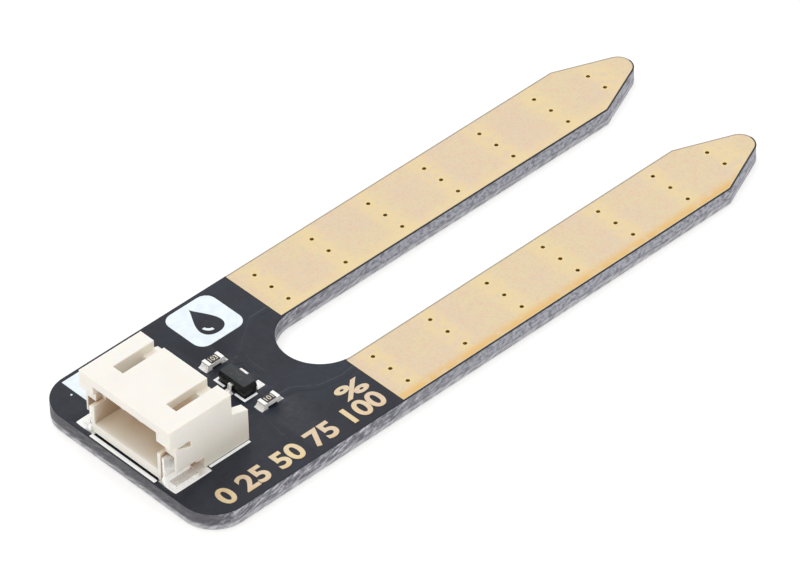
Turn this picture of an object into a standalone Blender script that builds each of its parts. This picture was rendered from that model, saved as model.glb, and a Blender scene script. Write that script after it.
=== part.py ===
"""Soil moisture sensor: a fork-shaped circuit board with two gold-plated prongs.

Frame: +X runs along the prongs towards their tips, +Z is up, and the origin is under the middle
of the board's box, on the plane of its lower face. Lengths below are millimetres; each finished
mesh is scaled to metres.
"""
import bpy
import bmesh
from math import acos, atan2, cos, hypot, pi, sin

MM = 0.001

# Driving dimensions of the board.
BOARD_LENGTH = 60.0
BOARD_WIDTH = 20.0
BOARD_THICKNESS = 1.6
CORNER_RADIUS = 3.0
SLOT_WIDTH = 7.0
SLOT_ROOT_X = -9.7
CHAMFER_X = 24.4
TIP_RADIUS = 1.3

# Layers. Two touching pieces keep the clearance between them.
CLEARANCE = 0.01
SHEET = 0.04
TRACK = 0.02
CHANNEL = 0.025

# Gold electrodes and the rows of plated holes that join their two faces.
GOLD_MARGIN = 0.13
GOLD_START_X = -10.46
VIA_ROW_START_X = -8.73
VIA_ROW_PITCH = 5.976
VIA_ROWS = 6
VIA_PITCH = 1.905
VIA_OFFSET = -0.15
TIP_ROW_X = 26.18
VIA_BORE = 0.2
VIA_WALL = 0.025
VIA_SIDES = 10

# Three-way side-entry header, 2.0 mm pitch. Heights here are above the board's upper face.
PIN_PITCH = 2.0
HEADER_FRONT = -29.45
HEADER_DEPTH = 6.2
HEADER_HALF = 5.0
HEADER_HEIGHT = 5.5
WING_LENGTH = 1.6
WING_THICKNESS = 0.8
WING_HEIGHT_FRONT = 3.5
WING_HEIGHT_BACK = 3.0
CAVITY_HALF = 3.5
CAVITY_DEPTH = 5.0
CAVITY_FLOOR = 1.0
CAVITY_ROOF = 4.7
STANDOFF = 0.14
STANDOFF_HALF = 3.6
STANDOFF_DEPTH = 4.5
LATCH_SLOT_START = 2.1
LATCH_SLOT_INNER = 2.4
LATCH_SLOT_OUTER = 3.48
RECESS_DEPTH = 0.55
RECESS_INNER = 3.85
RECESS_HEIGHT = 3.85
WALL_NOTCH_DEPTH = 1.2
WALL_NOTCH_LOW = 2.75
CORNER_POCKET = [(3.45, 4.75), (3.45, 4.05), (2.75, 4.6)]
CORNER_POCKET_DEPTH = 1.2
TAB_POCKET_OUTER = 4.78
TAB_POCKET_TOP = 2.7
TAB_POCKET_ARCH = 0.3
TAB_POCKET_DEPTH = 2.5
SIDE_SLOT_TOP = 1.2
SIDE_NOTCH_TOP = 0.95
SIDE_NOTCH_END = 3.35
SIDE_WINDOW = [(0.85, 3.35), (2.15, 2.85), (2.15, 3.35)]
SIDE_WINDOW_DEPTH = 0.45
PIN_SIZE = 0.5
PIN_HEIGHT = 2.7
PIN_TIP_INSET = 1.45
PIN_TAPER = 0.4
PIN_FOOT = 1.6
PIN_FOOT_THICKNESS = 0.35
FOOT_LIFT = 0.02
TAB_THICKNESS = 0.25
TAB_BLADE_INNER = 3.9
TAB_BLADE_TOP = 2.4
TAB_BLADE = (0.1, 2.35)
TAB_FOOT = (0.25, 2.45)
TAB_FOOT_REACH = 5.25

# Chip resistors and the three-lead transistor.
RESISTOR_X = -17.84
RESISTOR_Y = {"pulldown_resistor": 3.2, "series_resistor": -3.0}
RESISTOR_LENGTH = 1.6
RESISTOR_WIDTH = 0.8
RESISTOR_HEIGHT = 0.45
TERMINAL_LIFT = 0.03
TERMINAL_PLATE = 0.03
TERMINAL_LIP = 0.32
FILM_THICKNESS = 0.012
TRANSISTOR_X = -18.25
LEAD_OFFSET = 0.95
LEAD_WIDTH = 0.4

# Levels worked out from the layers.
CORE_LOW = SHEET + CLEARANCE
CORE_HIGH = BOARD_THICKNESS - SHEET - CLEARANCE
TOP_LOW = BOARD_THICKNESS - SHEET
TRACK_TOP = TOP_LOW + TRACK
PART_BASE = BOARD_THICKNESS + CLEARANCE
PRONG_WIDTH = (BOARD_WIDTH - SLOT_WIDTH) / 2
PRONG_CENTRE = (BOARD_WIDTH - PRONG_WIDTH) / 2

# Copper areas as (low x, high x, low y, high y).
RESISTOR_PADS = {}
for resistor, centre_y in RESISTOR_Y.items():
    for end, sign in (("header_end", -1), ("prong_end", 1)):
        near = RESISTOR_X + sign * 0.45
        far = RESISTOR_X + sign * 1.12
        RESISTOR_PADS[resistor, end] = (min(near, far), max(near, far), centre_y - 0.45, centre_y + 0.45)
LEAD_PADS = {
    "collector": (TRANSISTOR_X - 1.55, TRANSISTOR_X - 0.75, -0.4, 0.4),
    "base": (TRANSISTOR_X + 0.75, TRANSISTOR_X + 1.6, -LEAD_OFFSET - 0.35, -LEAD_OFFSET + 0.45),
    "emitter": (TRANSISTOR_X + 0.75, TRANSISTOR_X + 1.6, LEAD_OFFSET - 0.45, LEAD_OFFSET + 0.35),
}
PIN_PADS = {
    "signal": (-23.9, -20.4, -PIN_PITCH - 0.5, -PIN_PITCH + 0.5),
    "supply": (-23.9, -20.4, -0.5, 0.5),
    "ground": (-23.9, -20.4, PIN_PITCH - 0.5, PIN_PITCH + 0.5),
}
TAB_PADS = {
    "left": (-29.55, -25.9, 3.6, 5.4),
    "right": (-29.55, -25.9, -5.4, -3.6),
}

# Centre lines of the copper tracks.
TRACK_WIDTH = 0.4
GROUND_TRACK = [(-20.8, 2.0), (-20.0, 2.8), (-19.3, 3.2), (-18.6, 3.2)]
SUPPLY_TRACK = [(-20.8, 0.0), (-19.2, 0.0)]
SUPPLY_BRANCH = [(-20.05, 0.0), (-20.05, -2.0), (-19.3, -3.0), (-18.6, -3.0)]
SIGNAL_LINK = [(-17.0, 0.9), (-17.0, 3.2)]
SIGNAL_TOP_START = [(-17.0, 2.1), (-16.1, 2.1)]
SIGNAL_TOP_END = [(-24.7, -2.0), (-23.5, -2.0)]
SIGNAL_BOTTOM = [(-16.1, 2.1), (-17.2, 2.1), (-21.3, -2.0), (-24.7, -2.0)]
SIGNAL_VIAS = [(-16.1, 2.1), (-24.7, -2.0)]
LEFT_TRACK = [(-10.0, 4.9), (-12.3, 4.9), (-15.6, 2.5), (-15.9, 1.2), (-15.9, -0.2), (-16.9, -0.9)]
RIGHT_TRACK = [(-10.0, -4.6), (-11.9, -4.8), (-14.0, -4.4), (-15.6, -3.1), (-17.0, -3.0)]


# ---------------------------------------------------------------------------------------------
# Outlines


def rectangle(low_x, high_x, low_y, high_y):
    return [(low_x, low_y), (high_x, low_y), (high_x, high_y), (low_x, high_y)]


def grown(box, amount):
    return box[0] - amount, box[1] + amount, box[2] - amount, box[3] + amount


def arc(centre_x, centre_y, radius, start, end, steps):
    points = []
    for step in range(steps + 1):
        angle = start + (end - start) * step / steps
        points.append((centre_x + radius * cos(angle), centre_y + radius * sin(angle)))
    return points


def circle(centre, radius, sides):
    return arc(centre[0], centre[1], radius, 0.0, 2 * pi * (sides - 1) / sides, sides - 1)


def prong_end(margin):
    """Pointed end of the +Y prong, from its inner edge round the tip to its outer edge."""
    tip_x = BOARD_LENGTH / 2 - TIP_RADIUS
    run = CHAMFER_X - tip_x
    rise = PRONG_WIDTH / 2
    slope = atan2(rise, run) - acos(TIP_RADIUS / hypot(run, rise))
    radius = TIP_RADIUS - margin
    edge = rise - margin
    corner_x = tip_x + (radius - sin(slope) * edge) / cos(slope)
    points = [(corner_x, PRONG_CENTRE - edge)]
    points += arc(tip_x, PRONG_CENTRE, radius, -slope, slope, 8)
    points.append((corner_x, PRONG_CENTRE + edge))
    return points


def mirrored(points):
    """The outline on the other side of the board's middle line, still counter-clockwise."""
    return [(x, -y) for x, y in reversed(points)]


def board_outline(inset=0.0):
    left = -BOARD_LENGTH / 2 + CORNER_RADIUS
    side = BOARD_WIDTH / 2 - CORNER_RADIUS
    radius = CORNER_RADIUS - inset
    slot = SLOT_WIDTH / 2 + inset
    points = arc(left, -side, radius, pi, 1.5 * pi, 8)
    points += mirrored(prong_end(inset))
    points += arc(SLOT_ROOT_X, 0.0, slot, -pi / 2, -1.5 * pi, 20)
    points += prong_end(inset)
    points += arc(left, side, radius, pi / 2, pi, 8)
    return points


def electrode_outline(margin):
    start = GOLD_START_X + margin - GOLD_MARGIN
    low = PRONG_CENTRE - PRONG_WIDTH / 2 + margin
    high = PRONG_CENTRE + PRONG_WIDTH / 2 - margin
    return [(start, low)] + prong_end(margin) + [(start, high)]


def via_centres():
    """Plated holes of the +Y prong: rows of three, and one row of two near the tip."""
    centres = []
    via_centre = PRONG_CENTRE + VIA_OFFSET
    for row in range(VIA_ROWS):
        for column in (-1, 0, 1):
            centres.append((VIA_ROW_START_X + row * VIA_ROW_PITCH, via_centre + column * VIA_PITCH))
    for column in (-0.5, 0.5):
        centres.append((TIP_ROW_X, via_centre + column * VIA_PITCH))
    return centres


def track_outline(centre_line, width):
    """A strip of even width round a centre line, with mitred bends."""
    left = []
    right = []
    last = len(centre_line) - 1
    for index, (x, y) in enumerate(centre_line):
        before = centre_line[max(index - 1, 0)]
        after = centre_line[min(index + 1, last)]
        first = atan2(y - before[1], x - before[0]) if index else atan2(after[1] - y, after[0] - x)
        second = atan2(after[1] - y, after[0] - x) if index < last else first
        turn = atan2(sin(second - first), cos(second - first))
        middle = first + turn / 2 + pi / 2
        reach = width / 2 / cos(turn / 2)
        left.append((x + reach * cos(middle), y + reach * sin(middle)))
        right.append((x - reach * cos(middle), y - reach * sin(middle)))
    return right + left[::-1]


# ---------------------------------------------------------------------------------------------
# Solids


def upright(u, v, w):
    return u, v, w


def across(u, v, w):
    """Profile drawn in XZ, thickness along Y."""
    return u, w, v


def lengthwise(u, v, w):
    """Profile drawn in YZ, thickness along X."""
    return w, u, v


def prism(outline, low, high, holes=(), place=upright):
    """Closed solid between two levels, with through holes."""
    bm = bmesh.new()
    for level in (low, high):
        edges = []
        for loop in (outline, *holes):
            verts = [bm.verts.new(place(u, v, level)) for u, v in loop]
            edges += [bm.edges.new((verts[i - 1], verts[i])) for i in range(len(verts))]
        bmesh.ops.triangle_fill(bm, edges=edges, use_beauty=True)
    bm.verts.ensure_lookup_table()
    half = len(bm.verts) // 2
    start = 0
    for loop in (outline, *holes):
        count = len(loop)
        for i in range(count):
            a = start + (i - 1) % count
            b = start + i
            quad = [bm.verts[a], bm.verts[b], bm.verts[b + half], bm.verts[a + half]]
            bm.faces.new(quad)
        start += count
    bmesh.ops.recalc_face_normals(bm, faces=bm.faces)
    return bm


def block(low_x, high_x, low_y, high_y, low_z, high_z):
    return prism(rectangle(low_x, high_x, low_y, high_y), low_z, high_z)


def frustum(levels):
    """Stack of rectangles given as (low x, high x, low y, high y, z), joined level to level."""
    bm = bmesh.new()
    rings = []
    for low_x, high_x, low_y, high_y, z in levels:
        corners = rectangle(low_x, high_x, low_y, high_y)
        rings.append([bm.verts.new((x, y, z)) for x, y in corners])
    bm.faces.new(rings[0][::-1])
    bm.faces.new(rings[-1])
    for lower, upper in zip(rings, rings[1:]):
        for i in range(4):
            bm.faces.new((lower[i - 1], lower[i], upper[i], upper[i - 1]))
    bmesh.ops.recalc_face_normals(bm, faces=bm.faces)
    return bm


def scratch_object(bm):
    mesh = bpy.data.meshes.new("scratch")
    bm.to_mesh(mesh)
    bm.free()
    obj = bpy.data.objects.new("scratch", mesh)
    bpy.context.scene.collection.objects.link(obj)
    return obj


def combine(body, tools, operation):
    """Join the tools to the body, or cut them out of it, one after another."""
    for tool in tools:
        base = scratch_object(body)
        other = scratch_object(tool)
        modifier = base.modifiers.new("combine", "BOOLEAN")
        modifier.object = other
        modifier.operation = operation
        modifier.solver = "EXACT"
        depsgraph = bpy.context.evaluated_depsgraph_get()
        result = bpy.data.meshes.new_from_object(base.evaluated_get(depsgraph))
        body = bmesh.new()
        body.from_mesh(result)
        for obj in (base, other):
            mesh = obj.data
            bpy.data.objects.remove(obj)
            bpy.data.meshes.remove(mesh)
        bpy.data.meshes.remove(result)
        bmesh.ops.remove_doubles(body, verts=body.verts, dist=0.0005)
        bmesh.ops.dissolve_degenerate(body, edges=body.edges, dist=0.0002)
    return body


def join(body, tools):
    return combine(body, tools, "UNION")


def cut(body, tools):
    return combine(body, tools, "DIFFERENCE")


def plated_sheets(outline, centres):
    """Upper and lower copper sheet joined by the open barrels of the plated holes."""
    bores = [circle(centre, VIA_BORE, VIA_SIDES) for centre in centres]
    barrels = [circle(centre, VIA_BORE + VIA_WALL, VIA_SIDES) for centre in centres]
    bm = bmesh.new()

    def ring(points, level):
        return [bm.verts.new((x, y, level)) for x, y in points]

    def fill(loops):
        edges = [bm.edges.new((loop[i - 1], loop[i])) for loop in loops for i in range(len(loop))]
        bmesh.ops.triangle_fill(bm, edges=edges, use_beauty=True)

    def wall(lower, upper):
        for i in range(len(lower)):
            bm.faces.new((lower[i - 1], lower[i], upper[i], upper[i - 1]))

    levels = (0.0, SHEET, TOP_LOW, BOARD_THICKNESS)
    rims = [ring(outline, level) for level in levels]
    bore_low = [ring(points, levels[0]) for points in bores]
    bore_high = [ring(points, levels[3]) for points in bores]
    barrel_low = [ring(points, levels[1]) for points in barrels]
    barrel_high = [ring(points, levels[2]) for points in barrels]
    fill([rims[0], *bore_low])
    fill([rims[1], *barrel_low])
    fill([rims[2], *barrel_high])
    fill([rims[3], *bore_high])
    wall(rims[0], rims[1])
    wall(rims[2], rims[3])
    for lower, upper in zip(bore_low + barrel_low, bore_high + barrel_high):
        wall(lower, upper)
    bmesh.ops.recalc_face_normals(bm, faces=bm.faces)
    return bm


# ---------------------------------------------------------------------------------------------
# Materials and objects

MATERIALS = {
    "glass_laminate": ((0.30, 0.29, 0.31), 0.7, 0.0),
    "black_mask": ((0.030, 0.034, 0.045), 0.35, 0.0),
    "plated_gold": ((0.88, 0.70, 0.45), 0.35, 1.0),
    "bare_copper": ((0.80, 0.45, 0.30), 0.4, 1.0),
    "natural_nylon": ((0.90, 0.86, 0.76), 0.5, 0.0),
    "tin_plate": ((0.75, 0.75, 0.74), 0.3, 1.0),
    "solder": ((0.72, 0.73, 0.74), 0.25, 1.0),
    "alumina": ((0.90, 0.90, 0.88), 0.6, 0.0),
    "resistive_film": ((0.10, 0.10, 0.11), 0.5, 0.0),
    "black_glaze": ((0.02, 0.02, 0.022), 0.3, 0.0),
    "black_epoxy": ((0.035, 0.037, 0.04), 0.55, 0.0),
    "silicon": ((0.20, 0.21, 0.24), 0.15, 0.6),
    "gold_wire": ((0.95, 0.75, 0.35), 0.2, 1.0),
}


def material(name):
    """The material's own copy for one sub-part."""
    colour, roughness, metallic = MATERIALS[name]
    made = bpy.data.materials.new(name)
    made.use_nodes = True
    shader = made.node_tree.nodes["Principled BSDF"]
    shader.inputs["Base Color"].default_value = (*colour, 1.0)
    shader.inputs["Roughness"].default_value = roughness
    shader.inputs["Metallic"].default_value = metallic
    return made


def add_piece(root, name, bm, finish, smooth=False):
    """Turn a finished solid into a named object in metres, under the root empty."""
    for vert in bm.verts:
        vert.co *= MM
    mesh = bpy.data.meshes.new(name)
    bm.to_mesh(mesh)
    bm.free()
    if smooth:
        mesh.shade_smooth()
        mesh.set_sharp_from_angle(angle=pi / 5)
    mesh.materials.append(material(finish))
    obj = bpy.data.objects.new(name, mesh)
    bpy.context.scene.collection.objects.link(obj)
    obj.parent = root
    return obj


# ---------------------------------------------------------------------------------------------
# Board


def fr4_core(root):
    radius = VIA_BORE + VIA_WALL + CLEARANCE
    centres = via_centres()
    centres += [(x, -y) for x, y in centres]
    centres += SIGNAL_VIAS
    holes = [circle(centre, radius, VIA_SIDES) for centre in centres]
    add_piece(root, "fr4_core", prism(board_outline(), CORE_LOW, CORE_HIGH, holes), "glass_laminate")


def track_prism(centre_line, low, high, extra=0.0):
    return prism(track_outline(centre_line, TRACK_WIDTH + 2 * extra), low, high)


def top_solder_mask(root):
    """Upper lacquer film: open over every pad and electrode, hollowed underneath over each track."""
    gap = CLEARANCE
    window = electrode_outline(GOLD_MARGIN - gap)
    holes = [window, mirrored(window)]
    for pads in (RESISTOR_PADS, LEAD_PADS, PIN_PADS, TAB_PADS):
        for pad in pads.values():
            holes.append(rectangle(*grown(pad, 0.03)))
    film = prism(board_outline(), TOP_LOW, BOARD_THICKNESS, holes)
    lines = (GROUND_TRACK, SUPPLY_TRACK, SUPPLY_BRANCH, SIGNAL_LINK, SIGNAL_TOP_START, SIGNAL_TOP_END,
             LEFT_TRACK, RIGHT_TRACK)
    channels = [track_prism(line, CORE_HIGH - SHEET, TOP_LOW + CHANNEL, gap) for line in lines]
    channels += [prism(circle(centre, 0.4 + gap, 16), CORE_HIGH - SHEET, TOP_LOW + CHANNEL)
                 for centre in SIGNAL_VIAS]
    add_piece(root, "top_solder_mask", cut(film, channels), "black_mask")


def bottom_solder_mask(root):
    window = mirrored(electrode_outline(GOLD_MARGIN - CLEARANCE))
    film = prism(board_outline(), 0.0, SHEET, [window, mirrored(window)])
    channels = [track_prism(SIGNAL_BOTTOM, SHEET - CHANNEL, 2 * SHEET, CLEARANCE)]
    channels += [prism(circle(centre, 0.4 + CLEARANCE, 16), SHEET - CHANNEL, 2 * SHEET)
                 for centre in SIGNAL_VIAS]
    add_piece(root, "bottom_solder_mask", cut(film, channels), "black_mask")


def pad_prism(pad):
    return prism(rectangle(*pad), TOP_LOW, TRACK_TOP)


def electrodes(root):
    """Each electrode with the track that runs from it to its first component."""
    left = plated_sheets(electrode_outline(GOLD_MARGIN), via_centres())
    left = join(left, [track_prism(LEFT_TRACK, TOP_LOW, TRACK_TOP), pad_prism(LEAD_PADS["base"])])
    add_piece(root, "left_electrode", left, "plated_gold")
    centres = [(x, -y) for x, y in via_centres()]
    right = plated_sheets(mirrored(electrode_outline(GOLD_MARGIN)), centres)
    first_pad = pad_prism(RESISTOR_PADS["series_resistor", "prong_end"])
    right = join(right, [track_prism(RIGHT_TRACK, TOP_LOW, TRACK_TOP), first_pad])
    add_piece(root, "right_electrode", right, "plated_gold")


def copper_nets(root):
    """Ground, supply and signal copper, and the two anchor pads of the header."""
    ground = join(pad_prism(PIN_PADS["ground"]), [
        track_prism(GROUND_TRACK, TOP_LOW, TRACK_TOP),
        pad_prism(RESISTOR_PADS["pulldown_resistor", "header_end"]),
    ])
    add_piece(root, "ground_copper", ground, "bare_copper")
    supply = join(pad_prism(PIN_PADS["supply"]), [
        track_prism(SUPPLY_TRACK, TOP_LOW, TRACK_TOP),
        pad_prism(LEAD_PADS["collector"]),
        track_prism(SUPPLY_BRANCH, TOP_LOW, TRACK_TOP),
        pad_prism(RESISTOR_PADS["series_resistor", "header_end"]),
    ])
    add_piece(root, "supply_copper", supply, "bare_copper")
    low = SHEET - TRACK
    lands = []
    for centre in SIGNAL_VIAS:
        lands.append(prism(circle(centre, 0.4, 16), TOP_LOW, TRACK_TOP))
        lands.append(prism(circle(centre, 0.4, 16), low, SHEET))
        lands.append(prism(circle(centre, VIA_BORE, VIA_SIDES), low + TRACK / 2, TRACK_TOP - TRACK / 2))
    signal = join(pad_prism(PIN_PADS["signal"]), [
        track_prism(SIGNAL_TOP_END, TOP_LOW, TRACK_TOP),
        lands[4],
        lands[5],
        lands[3],
        track_prism(SIGNAL_BOTTOM, low, SHEET),
        lands[1],
        lands[2],
        lands[0],
        track_prism(SIGNAL_TOP_START, TOP_LOW, TRACK_TOP),
        track_prism(SIGNAL_LINK, TOP_LOW, TRACK_TOP),
        pad_prism(LEAD_PADS["emitter"]),
        pad_prism(RESISTOR_PADS["pulldown_resistor", "prong_end"]),
    ])
    add_piece(root, "signal_copper", signal, "bare_copper")
    for side, pad in TAB_PADS.items():
        add_piece(root, side + "_anchor_pad", pad_prism(pad), "bare_copper")


# ---------------------------------------------------------------------------------------------
# Header


def span(side, inner, outer):
    """The Y range between two distances from the middle line, on the side given by its sign."""
    return (inner, outer) if side > 0 else (-outer, -inner)


def housing_body():
    """Outer form of the shroud: a block with a low wing at each rear corner."""
    base = PART_BASE
    back = HEADER_FRONT + HEADER_DEPTH
    overlap = 0.5
    body = block(HEADER_FRONT, back, -HEADER_HALF, HEADER_HALF, base, base + HEADER_HEIGHT)
    wing = [
        (back - overlap, base),
        (back + WING_LENGTH, base),
        (back + WING_LENGTH, base + WING_HEIGHT_BACK),
        (back, base + WING_HEIGHT_FRONT),
        (back - overlap, base + WING_HEIGHT_FRONT),
    ]
    wings = []
    for side in (-1, 1):
        low, high = span(side, HEADER_HALF - WING_THICKNESS, HEADER_HALF)
        wings.append(prism(wing, low, high, place=across))
    return join(body, wings)


def pin_holes():
    """Square holes through the shroud's rear wall."""
    half = PIN_SIZE / 2 + CLEARANCE
    middle = PART_BASE + PIN_HEIGHT
    low_x = HEADER_FRONT + CAVITY_DEPTH - 0.5
    high_x = HEADER_FRONT + HEADER_DEPTH + 0.5
    holes = []
    for index in (-1, 0, 1):
        centre = index * PIN_PITCH
        holes.append(block(low_x, high_x, centre - half, centre + half, middle - half, middle + half))
    return holes


def side_cutters(side):
    """Latch slot, front recess, anchor tab pocket and side window on one side of the shroud."""
    base = PART_BASE
    front = HEADER_FRONT
    back = front + HEADER_DEPTH
    beyond = HEADER_HALF + 0.5
    below = base - 0.5
    ahead = front - 0.5
    slot_y = span(side, LATCH_SLOT_INNER, LATCH_SLOT_OUTER)
    latch_slot = block(front + LATCH_SLOT_START, back + 0.5, *slot_y,
                       base + CAVITY_ROOF - 0.1, base + HEADER_HEIGHT + 0.5)
    recess = block(ahead, front + RECESS_DEPTH, *span(side, RECESS_INNER, beyond),
                   below, base + RECESS_HEIGHT)
    notch_y = span(side, CAVITY_HALF - 0.1, RECESS_INNER + 0.05)
    wall_notch = block(ahead, front + WALL_NOTCH_DEPTH, *notch_y,
                       base + WALL_NOTCH_LOW, base + RECESS_HEIGHT - 0.05)
    corner = [(side * y, base + z) for y, z in CORNER_POCKET]
    corner_pocket = prism(corner, ahead, front + CORNER_POCKET_DEPTH, place=lengthwise)
    arch = [
        (RECESS_INNER, below),
        (RECESS_INNER, base + TAB_POCKET_TOP - TAB_POCKET_ARCH),
        (RECESS_INNER + TAB_POCKET_ARCH, base + TAB_POCKET_TOP),
        (TAB_POCKET_OUTER - TAB_POCKET_ARCH, base + TAB_POCKET_TOP),
        (TAB_POCKET_OUTER, base + TAB_POCKET_TOP - TAB_POCKET_ARCH),
        (TAB_POCKET_OUTER, base + SIDE_SLOT_TOP),
        (beyond, base + SIDE_SLOT_TOP),
        (beyond, below),
    ]
    arch = [(side * y, z) for y, z in arch]
    tab_pocket = prism(arch, front + RECESS_DEPTH - 0.1, front + TAB_POCKET_DEPTH, place=lengthwise)
    side_notch = block(front + TAB_POCKET_DEPTH - 0.1, front + SIDE_NOTCH_END,
                       *span(side, TAB_BLADE_INNER, beyond), below, base + SIDE_NOTCH_TOP)
    window = [(front + x, base + z) for x, z in SIDE_WINDOW]
    window_y = span(side, HEADER_HALF - SIDE_WINDOW_DEPTH, beyond)
    side_window = prism(window, *window_y, place=across)
    return [latch_slot, recess, wall_notch, corner_pocket, tab_pocket, side_notch, side_window]


def header_housing(root):
    """Nylon shroud, open at the front, with latch slots in its roof and a shallow relief underneath."""
    base = PART_BASE
    cavity = block(HEADER_FRONT - 1.0, HEADER_FRONT + CAVITY_DEPTH, -CAVITY_HALF, CAVITY_HALF,
                   base + CAVITY_FLOOR, base + CAVITY_ROOF)
    relief = block(HEADER_FRONT - 1.0, HEADER_FRONT + STANDOFF_DEPTH, -STANDOFF_HALF, STANDOFF_HALF,
                   base - 0.5, base + STANDOFF)
    tools = [cavity, relief, *pin_holes(), *side_cutters(-1), *side_cutters(1)]
    add_piece(root, "header_housing", cut(housing_body(), tools), "natural_nylon")


PINS = (("signal_pin", -PIN_PITCH), ("supply_pin", 0.0), ("ground_pin", PIN_PITCH))
PIN_BEND = HEADER_FRONT + HEADER_DEPTH + 0.25


def contact_pins(root):
    """Square pins: straight in the cavity, bent down behind the shroud, with a foot on the pad."""
    half = PIN_SIZE / 2
    nose = PIN_SIZE / 4
    middle = PART_BASE + PIN_HEIGHT
    tip = HEADER_FRONT + PIN_TIP_INSET
    foot_low = PART_BASE + FOOT_LIFT
    foot_high = foot_low + PIN_FOOT_THICKNESS
    profile = [
        (tip, middle - nose),
        (tip + PIN_TAPER, middle - half),
        (PIN_BEND, middle - half),
        (PIN_BEND, foot_low),
        (PIN_BEND + PIN_FOOT, foot_low),
        (PIN_BEND + PIN_FOOT, foot_high),
        (PIN_BEND + PIN_SIZE + 0.1, foot_high),
        (PIN_BEND + PIN_SIZE, foot_high + 0.1),
        (PIN_BEND + PIN_SIZE, middle - 0.1),
        (PIN_BEND + PIN_SIZE - 0.35, middle + half),
        (tip + PIN_TAPER, middle + half),
        (tip, middle + nose),
    ]
    for name, centre in PINS:
        add_piece(root, name, prism(profile, centre - half, centre + half, place=across), "tin_plate")


def solder_tabs(root):
    """Anchor tabs: an upright blade in the housing's pocket and a foot that runs out over the pad."""
    low = PART_BASE + FOOT_LIFT
    for name, side in (("left_solder_tab", 1), ("right_solder_tab", -1)):
        blade = block(HEADER_FRONT + TAB_BLADE[0], HEADER_FRONT + TAB_BLADE[1],
                      *span(side, TAB_BLADE_INNER, TAB_BLADE_INNER + TAB_THICKNESS),
                      low + TAB_THICKNESS / 2, PART_BASE + TAB_BLADE_TOP)
        foot = block(HEADER_FRONT + TAB_FOOT[0], HEADER_FRONT + TAB_FOOT[1],
                     *span(side, TAB_BLADE_INNER + 0.01, TAB_FOOT_REACH), low, low + TAB_THICKNESS)
        add_piece(root, name, join(foot, [blade]), "tin_plate")


def header_joints(root):
    """Solder round each pin foot, and along the outer edge of each anchor foot."""
    low = TRACK_TOP + CLEARANCE
    high = PART_BASE + 0.25
    clear_top = PART_BASE + 2.0
    clear_low = PART_BASE + FOOT_LIFT - CLEARANCE
    for name, centre in PINS:
        mound = frustum([
            (PIN_BEND - 0.2, PIN_BEND + PIN_FOOT + 0.5, centre - 0.46, centre + 0.46, low),
            (PIN_BEND - 0.15, PIN_BEND + PIN_FOOT + 0.25, centre - 0.36, centre + 0.36, high),
        ])
        half = PIN_SIZE / 2 + CLEARANCE
        foot = block(PIN_BEND - CLEARANCE, PIN_BEND + PIN_FOOT + CLEARANCE, centre - half, centre + half,
                     clear_low, clear_top)
        add_piece(root, name + "_solder", cut(mound, [foot]), "solder")
    for name, side in (("left_solder_tab", 1), ("right_solder_tab", -1)):
        inner = HEADER_HALF + 0.03
        wide = span(side, inner, TAB_FOOT_REACH + 0.13)
        narrow = span(side, inner, TAB_FOOT_REACH + 0.03)
        wedge = frustum([
            (HEADER_FRONT + 0.1, HEADER_FRONT + 2.9, *wide, low),
            (HEADER_FRONT + 0.2, HEADER_FRONT + 2.7, *narrow, high - 0.05),
        ])
        foot = block(HEADER_FRONT + TAB_FOOT[0] - CLEARANCE, HEADER_FRONT + TAB_FOOT[1] + CLEARANCE,
                     *span(side, TAB_BLADE_INNER, TAB_FOOT_REACH + CLEARANCE), clear_low, clear_top)
        add_piece(root, name + "_solder", cut(wedge, [foot]), "solder")


# ---------------------------------------------------------------------------------------------
# Resistors


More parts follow.
